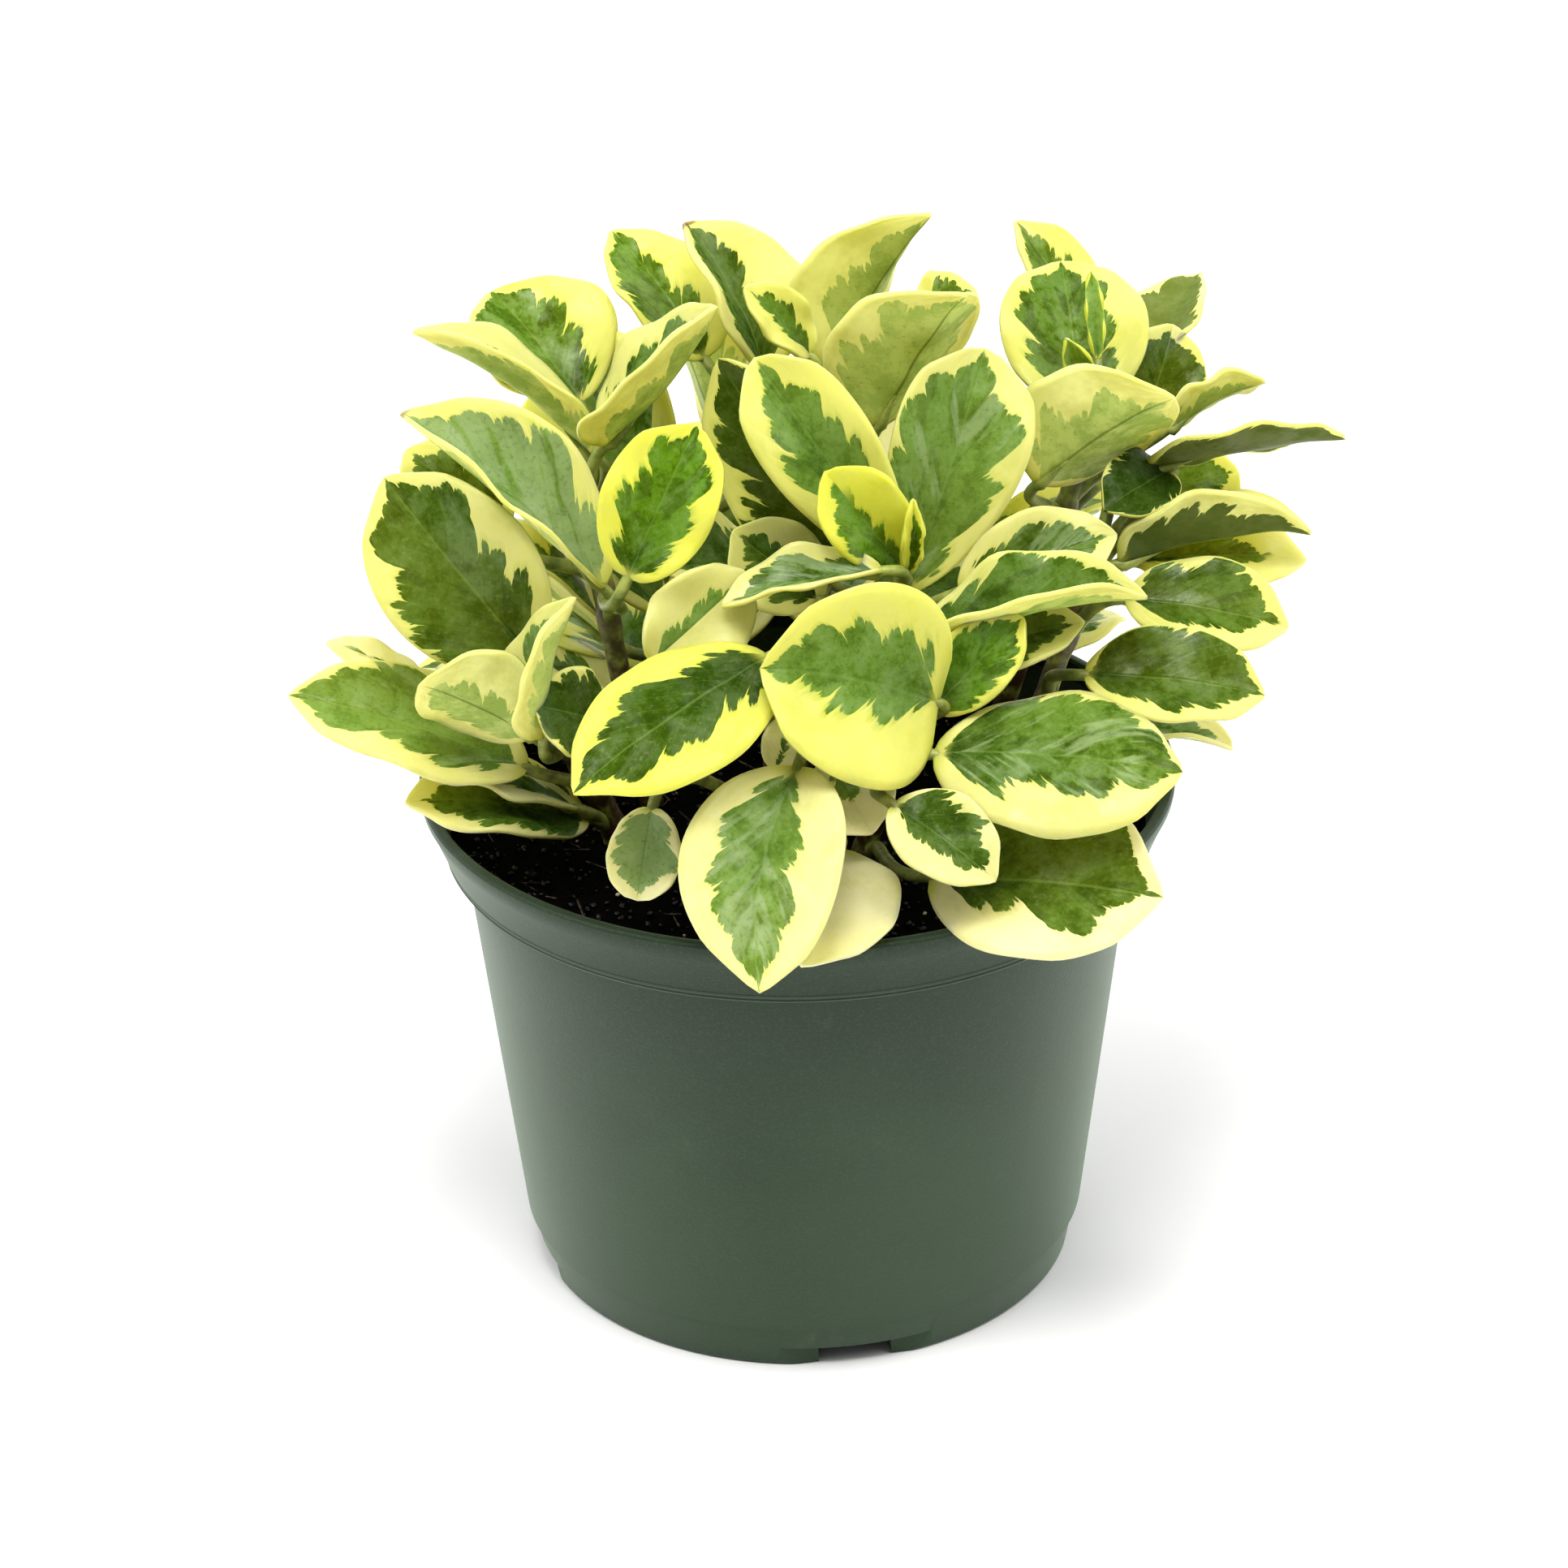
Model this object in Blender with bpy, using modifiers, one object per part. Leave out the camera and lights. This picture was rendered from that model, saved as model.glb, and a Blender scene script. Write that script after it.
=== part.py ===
# A variegated peperomia (Peperomia obtusifolia) in a moulded 6 inch nursery pot.
# The origin is on the pot's axis, where its underside meets the ground. +Z is up and the front faces -Y.
# Sizes and places are in millimetres, and MM turns them into Blender's metres.
import math
import random

import bmesh
import bpy
from mathutils import Vector

MM = 0.001
MERGE = 0.000001

# Pot: outer sizes, walls and foot
RIM_RADIUS = 76.2
POT_HEIGHT = 107.5
WALL = 1.6
BAND_LIP = 2.5
BAND_FOOT_RADIUS = 71.3
BAND_FOOT_Z = 93.4
BEAD = 0.6
EDGE = 0.4
STEP_Z = 92.2
BODY_TOP_RADIUS = 67.7
BODY_FOOT_RADIUS = 57.9
FOOT_HEIGHT = 9.9
FOOT_TOP_RADIUS = 57.0
FOOT_RADIUS = 55.3
FLOOR = 2.6
POT_STEPS = 48

# Drain notches: each one is a shallow recess in the foot with an open channel in its middle
NOTCHES = 4
NOTCH_TURN = -79.7
NOTCH_WIDTH = 31.0
NOTCH_HEIGHT = 4.2
NOTCH_FACE_RADIUS = 53.7
CHANNEL_WIDTH = 15.0
CHANNEL_HEIGHT = 3.7
CHANNEL_INNER_RADIUS = 44.0
CUT_OUTER_RADIUS = 65.0

# Soil: a plug that fills the pot to a little below the lip
GAP = 0.35
SOIL_TOP = 96.0
SOIL_EDGE_DROP = 0.8
STEM_DEPTH = 24.0
HOLE_SIDES = 8
HOLE_CLEARANCE = 0.45

# Stems and leaf stalks
STEM_RADIUS = 2.6
STEM_TOP_RADIUS = 2.0
BUD_RADIUS = 0.7
BUD_LENGTH = 5.0
STALK_RADIUS = 1.5
STALK_TIP_SHARE = 0.4
STALK_DROP = 7.0
STALK_LEAN = 0.45
STALK_END = 0.08
STALK_HANDLE = 0.35
STALK_LOWEST = 3.0
STALK_HIGHEST = 1.5
STEM_NECK = 2.0

# Leaf blades: the grid of each blade, its thickness and the shape that a leaf has unless its row changes it
LENGTH_STEPS = 6
SMALL_LENGTH_STEPS = 4
SMALL_WIDTH = 18
CROSS_STEPS = 4
BLADE = 1.0
WAVES = 1.6
WAVE_SHIFT_LEAF = 2.4
WAVE_SHIFT_SIDE = 1.3
LEAF_SHAPE = {
    "taper": (0.6, 0.6),
    "fold": 16,
    "cup": 10,
    "arch": 25,
    "skew": 0.2,
    "bow": 0,
    "twist": 0,
    "wave": 0.8,
}

# Each stem is a route above the soil: foot, middle, top
STEM_ROUTES = {
    "stem_centre": ((10, -4, 96), (14, -7, 122), (19, -12, 149)),
    "stem_back_centre": ((2, 24, 96), (5, 22, 130), (8, 24, 170)),
    "stem_left_back": ((-30, 8, 96), (-36, 6, 130), (-40, 10, 158)),
    "stem_left": ((-37, -9, 96), (-42, -13, 112), (-47, -20, 129)),
    "stem_front": ((13, -22, 96), (18, -27, 118), (23, -33, 138)),
    "stem_front_left": ((-6, -22, 96), (-5, -28, 118), (-3, -34, 140)),
    "stem_right": ((44, -6, 96), (50, -4, 125), (59, 0, 149)),
    "stem_right_back": ((40, 22, 96), (48, 18, 130), (57, 15, 166)),
    "stem_rear_right": ((22, 44, 96), (26, 42, 128), (28, 42, 158)),
    "stem_rear_left": ((-20, 42, 96), (-25, 42, 128), (-28, 40, 158)),
}

# Each leaf: blade base, tip, width, the way its upper side faces (degrees round, degrees up), changes of shape
LEAVES = {
    "stem_centre": [
        ((22, -14, 152), (38, 4, 196), 29, (-80, 25), {"taper": (0.75, 0.42)}),
        ((21, -16, 159), (-7, -8, 200), 27, (-95, 30), {}),
        ((18, -4, 153), (-14, 6, 194), 27, (-125, 20), {"taper": (0.5, 0.6)}),
        ((21, -20, 160), (6, -24, 183), 20, (-85, 30), {"fold": 28}),
        ((22, -22, 160), (23, -27, 178), 6, (-80, 20), {"fold": 40, "wave": 0}),
        ((5, -8, 148), (-12, -5, 162), 20, (-110, 40), {}),
        ((12, -31, 166), (-14, -36, 160), 16, (-90, 80), {"fold": 32}),
        ((32, -18, 154), (63, -12, 163), 20, (-90, 50), {}),
    ],
    "stem_back_centre": [
        ((17, 12, 176), (34, 0, 209), 36, (110, 20), {"fold": 26, "taper": (0.45, 0.72)}),
        ((14, 30, 188), (28, 25, 216), 30, (125, 15), {"fold": 34, "taper": (0.45, 0.75)}),
        ((26, 45, 186), (38, 50, 189), 14, (-90, 60), {}),
        ((4, 18, 189), (-9, 20, 203), 11, (-60, 40), {"fold": 25}),
        ((-5, 30, 181), (-21, 42, 208), 33, (-25, 40), {"fold": 22}),
        ((-17, 38, 180), (-36, 58, 200), 21, (-58, 45), {"fold": 18}),
        ((-3, 17, 142), (-27, 9, 147), 27, (-100, 76), {}),
        ((13, 20, 136), (37, 5, 141), 26, (-60, 76), {}),
        ((3, 15, 120), (-13, -8, 122), 27, (-110, 74), {}),
    ],
    "stem_left_back": [
        ((-38, 14, 169), (-74, 12, 198), 24, (18, 50), {"fold": 34}),
        ((-42, 26, 176), (-60, 42, 194), 35, (-55, 40), {"fold": 18}),
        ((-37, 10, 174), (-14, 8, 204), 30, (172, 41), {"fold": 36, "taper": (0.4, 0.7)}),
        ((-37, -18, 156), (-76, -5, 188), 33, (-32, 55), {"fold": 26, "cup": 30}),
        ((-57, -5, 161), (-76, 5, 176), 22, (-70, 50), {}),
        ((-32, -30, 164), (-18, -22, 192), 24, (-95, 30), {"taper": (0.5, 0.45)}),
        ((-30, 0, 126), (-10, -14, 131), 25, (-110, 74), {}),
    ],
    "stem_left": [
        ((-51, -24, 144), (-79, -14, 179), 34, (-105, 30), {}),
        ((-51, -34, 132), (-72, -40, 147), 26, (70, 5), {}),
        ((-49, -38, 134), (-42, -36, 163), 24, (185, 18), {"fold": 36, "taper": (0.4, 0.7)}),
        ((-37, -34, 135), (-51, -40, 142), 19, (-90, 40), {}),
        ((-53, -24, 120), (-99, -26, 138), 25, (-100, 58), {}),
        ((-73, -14, 134), (-93, -5, 139), 8, (-90, 70), {}),
        ((-44, -18, 108), (-73, -30, 122), 14, (-90, 80), {}),
        ((-42, -15, 104), (-77, -32, 117), 22, (-90, 62), {}),
    ],
    "stem_front": [
        ((27, -42, 142), (-7, -52, 155), 42, (-90, 25), {"taper": (0.34, 0.5), "bow": 18}),
        ((26, -37, 138), (44, -34, 156), 16, (-95, 35), {}),
        ((24, -30, 148), (68, -28, 157), 26, (-90, 85), {"fold": 45}),
        ((25, -26, 140), (56, -26, 151), 18, (-90, 60), {}),
        ((26, -48, 134), (73, -58, 134), 34, (-85, 62), {"fold": 0, "cup": -15}),
        ((19, -55, 129), (38, -70, 120), 19, (-82, 45), {}),
        ((25, -55, 111), (69, -69, 113), 39, (-88, 50), {}),
    ],
    "stem_front_left": [
        ((-5, -41, 152), (-42, -75, 141), 28, (-100, 50), {"taper": (0.6, 0.7), "fold": 2, "cup": -10}),
        ((-28, -37, 149), (-9, -29, 164), 21, (-75, 25), {"wave": 2.5}),
        ((0, -52, 134), (-8, -92, 107), 33, (-95, 35), {"bow": 30}),
        ((8, -50, 115), (0, -82, 107), 30, (-80, 40), {}),
        ((3, -44, 131), (15, -48, 126), 16, (-90, 40), {}),
        ((-28, -55, 127), (-31, -68, 114), 15, (-90, 40), {}),
        ((-4, -46, 130), (0, -46, 143), 10, (-90, 30), {}),
    ],
    "stem_right": [
        ((56, -25, 139), (91, -30, 136), 23, (-88, 55), {}),
        ((65, -8, 147), (97, -12, 142), 22, (-80, 55), {}),
        ((74, 2, 145), (102, 5, 145), 16, (-85, 60), {}),
        ((64, 0, 151), (102, -2, 158), 27, (92, 66), {"fold": 45}),
        ((75, 13, 165), (61, -3, 164), 16, (-90, 45), {}),
        ((70, 12, 166), (110, 15, 171), 22, (90, 52), {"arch": 8, "fold": 10}),
        ((73, 22, 155), (90, 30, 157), 18, (-90, 50), {}),
    ],
    "stem_right_back": [
        ((48, 5, 166), (74, -5, 189), 35, (100, 20), {"fold": 22, "taper": (0.45, 0.65)}),
        ((58, 22, 173), (55, 48, 196), 32, (-85, 40), {}),
        ((62, 50, 172), (46, 60, 200), 21, (-40, 40), {"fold": 22}),
        ((59, 15, 180), (54, 8, 196), 8, (-90, 30), {"fold": 35, "wave": 0}),
        ((61, 20, 186), (60, 30, 201), 5, (-90, 30), {"fold": 40, "wave": 0}),
        ((71, 38, 176), (85, 60, 188), 22, (-130, 35), {"fold": 25}),
        ((70, 28, 167), (77, 38, 186), 20, (-70, 35), {}),
        ((75, 18, 172), (94, 18, 182), 16, (90, 50), {}),
    ],
}

# Leaves of the far side, in rings round the pot's axis:
# headings, then the reach and height of the bases and of the tips, width, how far up the leaves face
RINGS = {
    "stem_right": [((8,), (52, 112), (88, 112), 30, 62)],
    "stem_rear_right": [
        ((38, 60, 81), (46, 113), (88, 113), 33, 62),
        ((44, 64, 82), (42, 130), (80, 140), 34, 48),
        ((50, 76), (36, 154), (66, 170), 33, 42),
    ],
    "stem_rear_left": [
        ((108, 129, 149, 168), (46, 113), (88, 113), 33, 62),
        ((112, 134, 156), (42, 130), (80, 140), 34, 48),
        ((108, 140), (36, 154), (66, 170), 33, 42),
    ],
}
RING_JITTER = 3.0
RING_TURN = 7.0
SEED = 6

COLOURS = {
    "pot": (0.075, 0.105, 0.075),
    "soil": (0.012, 0.009, 0.007),
    "stem": (0.33, 0.45, 0.12),
}
ROUGHNESS = {"pot": 0.55, "soil": 0.95, "stem": 0.42}


def material(name, kind):
    """A plain finish with the kind's colour and roughness."""
    made = bpy.data.materials.new(name)
    made.use_nodes = True
    shader = made.node_tree.nodes["Principled BSDF"]
    shader.inputs["Base Color"].default_value = (*COLOURS[kind], 1.0)
    shader.inputs["Roughness"].default_value = ROUGHNESS[kind]
    shader.inputs["Metallic"].default_value = 0.0
    return made


def metres(point):
    return Vector(point) * MM


def add_object(name, mesh, collection):
    made = bpy.data.objects.new(name, mesh)
    collection.objects.link(made)
    return made


def turned(name, profile, collection):
    """A profile of (radius, height) turned round the Z axis. Its outer side runs from top to bottom."""
    mesh = bpy.data.meshes.new(name)
    edges = [(i, i + 1) for i in range(len(profile) - 1)]
    mesh.from_pydata([metres((radius, 0, z)) for radius, z in profile], edges, [])
    made = add_object(name, mesh, collection)
    screw = made.modifiers.new("turn", "SCREW")
    screw.steps = POT_STEPS
    screw.render_steps = POT_STEPS
    screw.use_merge_vertices = True
    screw.merge_threshold = 0.0001
    return made


def evaluated_mesh(made):
    bpy.context.view_layer.update()
    graph = bpy.context.evaluated_depsgraph_get()
    return bpy.data.meshes.new_from_object(made.evaluated_get(graph))


def tube(name, route, radii, sides, collection):
    """A mesh tube along a route of points in millimetres, with a radius at each point."""
    curve = bpy.data.curves.new(name, "CURVE")
    curve.dimensions = "3D"
    curve.bevel_depth = MM
    curve.bevel_resolution = (sides - 4) // 2
    curve.use_fill_caps = True
    spline = curve.splines.new("POLY")
    spline.points.add(len(route) - 1)
    for point, place, radius in zip(spline.points, route, radii):
        point.co = (*metres(place), 1.0)
        point.radius = radius
    guide = add_object(name, curve, collection)
    mesh = evaluated_mesh(guide)
    bpy.data.objects.remove(guide)
    shell = bmesh.new()
    shell.from_mesh(mesh)
    bmesh.ops.remove_doubles(shell, verts=shell.verts, dist=MERGE)
    bmesh.ops.recalc_face_normals(shell, faces=shell.faces)
    shell.to_mesh(mesh)
    shell.free()
    return add_object(name, mesh, collection)


def box_cutter(name, size, centre, turn, collection):
    """A box, placed by its centre before it is turned round the Z axis."""
    shell = bmesh.new()
    bmesh.ops.create_cube(shell, size=1.0)
    bmesh.ops.scale(shell, vec=metres(size), verts=shell.verts)
    bmesh.ops.translate(shell, vec=metres(centre), verts=shell.verts)
    mesh = bpy.data.meshes.new(name)
    shell.to_mesh(mesh)
    shell.free()
    cutter = add_object(name, mesh, collection)
    cutter.rotation_euler.z = turn
    cutter.hide_render = True
    cutter.display_type = "WIRE"
    return cutter


def cut(made, cutter):
    boolean = made.modifiers.new("cut_" + cutter.name, "BOOLEAN")
    boolean.operation = "DIFFERENCE"
    boolean.object = cutter


def inner_wall():
    """The inside of the pot from the floor's corner to the lip, as (radius, height)."""
    return [
        (FOOT_RADIUS - WALL, FLOOR),
        (BODY_FOOT_RADIUS - WALL, FOOT_HEIGHT),
        (BODY_TOP_RADIUS - WALL, STEP_Z - WALL / 2),
        (BAND_FOOT_RADIUS - WALL, BAND_FOOT_Z),
        (RIM_RADIUS - WALL, POT_HEIGHT - BAND_LIP),
        (RIM_RADIUS - WALL, POT_HEIGHT - EDGE),
    ]


def build_pot(collection, cutters):
    outer = [
        (RIM_RADIUS - WALL + EDGE, POT_HEIGHT),
        (RIM_RADIUS - EDGE, POT_HEIGHT),
        (RIM_RADIUS, POT_HEIGHT - EDGE),
        (RIM_RADIUS, POT_HEIGHT - BAND_LIP),
        (BAND_FOOT_RADIUS, BAND_FOOT_Z + BEAD),
        (BAND_FOOT_RADIUS + BEAD, BAND_FOOT_Z),
        (BAND_FOOT_RADIUS, STEP_Z),
        (BODY_TOP_RADIUS, STEP_Z),
        (BODY_FOOT_RADIUS, FOOT_HEIGHT),
        (FOOT_TOP_RADIUS, FOOT_HEIGHT - EDGE),
        (FOOT_RADIUS, EDGE),
        (FOOT_RADIUS - EDGE, 0),
        (0, 0),
    ]
    pot = turned("pot", [(0, FLOOR)] + inner_wall() + outer, collection)
    for number in range(NOTCHES):
        turn = math.radians(NOTCH_TURN + number * 360 / NOTCHES)
        cuts = {
            "notch": (NOTCH_FACE_RADIUS, NOTCH_WIDTH, NOTCH_HEIGHT),
            "channel": (CHANNEL_INNER_RADIUS, CHANNEL_WIDTH, CHANNEL_HEIGHT),
        }
        for kind, (inner_radius, width, height) in cuts.items():
            size = (CUT_OUTER_RADIUS - inner_radius, width, 2 * height)
            centre = ((CUT_OUTER_RADIUS + inner_radius) / 2, 0, 0)
            cut(pot, box_cutter(f"{kind}_{number}", size, centre, turn, cutters))
    pot.data.materials.append(material("green_plastic", "pot"))
    return pot


def build_soil(collection, cutters):
    corner, body_foot, body_top, band_foot, band_top, _ = inner_wall()
    share = (SOIL_TOP - band_foot[1]) / (band_top[1] - band_foot[1])
    edge = band_foot[0] + share * (band_top[0] - band_foot[0]) - GAP
    profile = [
        (0, SOIL_TOP),
        (edge, SOIL_TOP - SOIL_EDGE_DROP),
        (band_foot[0] - GAP, band_foot[1] + GAP),
        (body_top[0] - GAP, body_top[1] + GAP),
        (body_foot[0] - GAP, body_foot[1]),
        (corner[0] - GAP, FLOOR + GAP),
        (0, FLOOR + GAP),
    ]
    soil = turned("soil", profile, collection)
    for name, route in STEM_ROUTES.items():
        shell = bmesh.new()
        bmesh.ops.create_cone(
            shell,
            cap_ends=True,
            segments=HOLE_SIDES,
            radius1=(STEM_RADIUS + HOLE_CLEARANCE) * MM,
            radius2=(STEM_RADIUS + HOLE_CLEARANCE) * MM,
            depth=2 * STEM_DEPTH * MM,
        )
        mesh = bpy.data.meshes.new("hole_" + name)
        shell.to_mesh(mesh)
        shell.free()
        hole = add_object("hole_" + name, mesh, cutters)
        hole.location = metres(route[0])
        hole.hide_render = True
        hole.display_type = "WIRE"
        cut(soil, hole)
    soil.data.materials.append(material("dark_peat", "soil"))
    return soil


def ring_leaves(rings, pick):
    """Leaves of the far side, in rings, each shifted a little by the seeded draw."""
    rows = []
    for headings, base_at, tip_at, width, up in rings:
        for heading in headings:
            shift = [pick.uniform(-RING_JITTER, RING_JITTER) for _ in range(4)]
            aim = math.radians(heading)
            tip_aim = aim + math.radians(pick.uniform(-RING_TURN, RING_TURN))
            base_reach = base_at[0] + shift[0]
            tip_reach = tip_at[0] + shift[1]
            base = (base_reach * math.cos(aim), base_reach * math.sin(aim), base_at[1] + shift[2])
            tip = (tip_reach * math.cos(tip_aim), tip_reach * math.sin(tip_aim), tip_at[1] + shift[3])
            rows.append((base, tip, width, (heading, up), {}))
    return rows


def outline(along, taper):
    """Half width at a share of the length, as a share of the widest: it tapers to the base and to the tip."""
    towards_base, towards_tip = taper
    widest = towards_base / (towards_base + towards_tip)
    most = widest**towards_base * (1 - widest) ** towards_tip
    return along**towards_base * (1 - along) ** towards_tip / most


def leaf_frame(row):
    base, tip, _, face, _ = row
    base = Vector(base)
    chord = Vector(tip) - base
    along = chord.normalized()
    round_angle, up_angle = (math.radians(angle) for angle in face)
    facing = Vector(
        (
            math.cos(up_angle) * math.cos(round_angle),
            math.cos(up_angle) * math.sin(round_angle),
            math.sin(up_angle),
        )
    )
    normal = (facing - facing.dot(along) * along).normalized()
    return base, chord.length, along, normal, along.cross(normal)


def leaf_point(row, number, along, across):
    """A point of the blade's middle surface, at a share of the length and a share of the half width."""
    base, length, forward, normal, side = leaf_frame(row)
    shape = {**LEAF_SHAPE, **row[4]}
    half = outline(along, shape["taper"])
    reach = abs(across)
    sign = math.copysign(1, across) if across else 0
    lean = math.radians(shape["fold"] + shape["cup"] * reach / 2)
    out = half * row[2] / 2 * reach
    ripple = math.sin(math.tau * WAVES * along + WAVE_SHIFT_LEAF * number + WAVE_SHIFT_SIDE * sign)
    sideways = out * math.cos(lean) * sign
    raised = out * math.sin(lean) + shape["wave"] * reach**2 * half * ripple
    turn = math.radians(shape["twist"]) * (along - 0.5)
    bulge = along * (1 - along) * (1 + shape["skew"] * (2 * along - 1)) * length / 2
    up = math.radians(shape["arch"]) * bulge
    up += sideways * math.sin(turn) + raised * math.cos(turn)
    right = math.radians(shape["bow"]) * bulge
    right += sideways * math.cos(turn) - raised * math.sin(turn)
    return base + forward * length * along + normal * up + side * right


def blade(name, row, number, collection):
    """A leaf blade: a triangulated grid bent to the leaf's surface, then given its thickness."""
    shell = bmesh.new()
    steps = LENGTH_STEPS if row[2] > SMALL_WIDTH else SMALL_LENGTH_STEPS
    bmesh.ops.create_grid(shell, x_segments=steps, y_segments=CROSS_STEPS, size=1.0)
    bmesh.ops.triangulate(shell, faces=shell.faces)
    for vertex in shell.verts:
        even = (vertex.co.x + 1) / 2
        eased = (1 - math.cos(math.pi * even)) / 2
        along = min(1.0, max(0.0, (even + eased) / 2))
        vertex.co = metres(leaf_point(row, number, along, vertex.co.y))
    bmesh.ops.remove_doubles(shell, verts=shell.verts, dist=MERGE)
    mesh = bpy.data.meshes.new(name)
    shell.to_mesh(mesh)
    shell.free()
    made = add_object(name, mesh, collection)
    thickness = made.modifiers.new("thickness", "SOLIDIFY")
    thickness.thickness = BLADE * MM
    thickness.offset = 0
    return made


def stem_place(route, z):
    """The point of a stem's route at a height, and the stem's direction there."""
    for low, high in zip(route, route[1:]):
        low, high = Vector(low), Vector(high)
        if z <= high.z or high == Vector(route[-1]):
            share = min(1.0, max(0.0, (z - low.z) / (high.z - low.z)))
            return low.lerp(high, share), (high - low).normalized()


def stalk(name, row, number, route, collection):
    """A leaf stalk from inside the stem to the blade, where it runs out along the midrib."""
    base = leaf_point(row, number, 0.0, 0.0)
    end = leaf_point(row, number, STALK_END, 0.0)
    low, top = Vector(route[0]), Vector(route[-1])
    flat_gap = (stem_place(route, base.z)[0] - base).xy.length
    z = base.z - STALK_DROP - STALK_LEAN * flat_gap
    root, upward = stem_place(route, min(max(z, low.z + STALK_LOWEST), top.z - STALK_HIGHEST))
    pull = (base - root).length * STALK_HANDLE
    leave = (upward + (base - root).normalized()).normalized()
    arrive = (end - base).normalized()
    handles = (root, root + leave * pull, base - arrive * pull, base)
    places = [bezier(handles, share) for share in (0, 0.5, 1)] + [end]
    radii = [STALK_RADIUS * share for share in (1.1, 0.95, 0.8, STALK_TIP_SHARE)]
    return tube(name, places, radii, 6, collection)


def bezier(handles, share):
    first, second, third, last = handles
    rest = 1 - share
    return (
        first * rest**3
        + second * 3 * rest * rest * share
        + third * 3 * rest * share * share
        + last * share**3
    )


def join(made, pieces):
    """Fuses a collection's pieces into the object, then removes them."""
    union = made.modifiers.new("grow", "BOOLEAN")
    union.operation = "UNION"
    union.operand_type = "COLLECTION"
    union.collection = pieces
    union.solver = "MANIFOLD"
    mesh = evaluated_mesh(made)
    made.modifiers.clear()
    made.data = mesh
    for piece in list(pieces.objects):
        bpy.data.objects.remove(piece)
    bpy.data.collections.remove(pieces)


def build_stem(name, route, rows, collection):
    foot = Vector(route[0])
    buried = foot - Vector((0, 0, STEM_DEPTH - GAP))
    neck = foot + Vector((0, 0, STEM_NECK))
    middle, top = (Vector(place) for place in route[1:])
    bud = top + (top - middle).normalized() * BUD_LENGTH
    places = [buried, neck, middle, top, bud]
    middle_radius = (STEM_RADIUS + STEM_TOP_RADIUS) / 2
    radii = [STEM_RADIUS, STEM_RADIUS, middle_radius, STEM_TOP_RADIUS, BUD_RADIUS]
    stem = tube(name, places, radii, 8, collection)
    pieces = bpy.data.collections.new(name + "_pieces")
    bpy.context.scene.collection.children.link(pieces)
    for number, row in enumerate(rows):
        stalk(f"{name}_stalk_{number}", row, number, route, pieces)
        blade(f"{name}_blade_{number}", row, number, pieces)
    join(stem, pieces)
    stem.data.materials.clear()
    stem.data.materials.append(material(name + "_leaf", "stem"))
    return stem


def shade(made):
    made.data.shade_smooth()
    made.data.set_sharp_from_angle(angle=math.radians(35))


def main():
    for old in list(bpy.data.objects):
        bpy.data.objects.remove(old)
    collection = bpy.data.collections.new("potted_peperomia")
    cutters = bpy.data.collections.new("cutters")
    for made in (collection, cutters):
        bpy.context.scene.collection.children.link(made)
    cutters.hide_render = True
    build_pot(collection, cutters)
    build_soil(collection, cutters)
    pick = random.Random(SEED)
    for name, route in STEM_ROUTES.items():
        rows = LEAVES.get(name, []) + ring_leaves(RINGS.get(name, []), pick)
        shade(build_stem(name, route, rows, collection))


main()
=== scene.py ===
import math
import random

import bmesh
import bpy
from mathutils import Euler, Matrix, Vector, noise


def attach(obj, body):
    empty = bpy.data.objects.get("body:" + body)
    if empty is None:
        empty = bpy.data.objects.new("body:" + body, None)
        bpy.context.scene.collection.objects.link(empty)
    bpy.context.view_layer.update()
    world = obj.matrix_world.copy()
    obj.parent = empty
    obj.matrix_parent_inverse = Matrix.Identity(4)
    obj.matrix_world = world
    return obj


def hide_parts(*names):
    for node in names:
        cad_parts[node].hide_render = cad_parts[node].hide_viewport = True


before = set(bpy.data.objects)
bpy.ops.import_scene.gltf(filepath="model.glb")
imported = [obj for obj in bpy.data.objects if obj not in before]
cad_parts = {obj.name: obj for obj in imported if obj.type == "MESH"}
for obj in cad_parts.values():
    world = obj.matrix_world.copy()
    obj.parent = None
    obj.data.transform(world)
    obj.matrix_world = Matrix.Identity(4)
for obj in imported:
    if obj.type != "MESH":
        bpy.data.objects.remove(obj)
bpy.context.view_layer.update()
mm = 0.001
weld = 0.001  # points this close together are made one
print("frame loaded:", sorted(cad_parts))


# Small tools for meshes

def toMetres(point):
    return Vector(point) * mm


def finishMesh(name, shell, materials, smooth=True):
    mesh = bpy.data.meshes.new(name)
    shell.to_mesh(mesh)
    shell.free()
    for finish in materials:
        mesh.materials.append(finish)
    for face in mesh.polygons:
        face.use_smooth = smooth
    piece = bpy.data.objects.new(name, mesh)
    bpy.context.scene.collection.objects.link(piece)
    return piece


def applyModifiers(piece):
    bpy.context.view_layer.update()
    graph = bpy.context.evaluated_depsgraph_get()
    mesh = bpy.data.meshes.new_from_object(piece.evaluated_get(graph))
    piece.modifiers.clear()
    piece.data = mesh


def spinProfile(profile, steps):
    # profile is (radius, height) in mm, closed round the axis
    shell = bmesh.new()
    points = [shell.verts.new(toMetres((radius, 0, height))) for radius, height in profile]
    edges = [shell.edges.new(pair) for pair in zip(points, points[1:])]
    bmesh.ops.spin(
        shell,
        geom=points + edges,
        cent=(0, 0, 0),
        axis=(0, 0, 1),
        angle=math.tau,
        steps=steps,
        use_merge=True,
    )
    bmesh.ops.remove_doubles(shell, verts=shell.verts, dist=2 * weld * mm)
    bmesh.ops.recalc_face_normals(shell, faces=shell.faces)
    return shell


# Small tools for materials

def startMaterial(name, **values):
    finish = bpy.data.materials.new(name)
    finish.use_nodes = True
    tree = finish.node_tree
    shader = tree.nodes["Principled BSDF"]
    for socket, value in values.items():
        shader.inputs[socket.replace("_", " ")].default_value = value
    return finish, tree, shader


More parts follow.
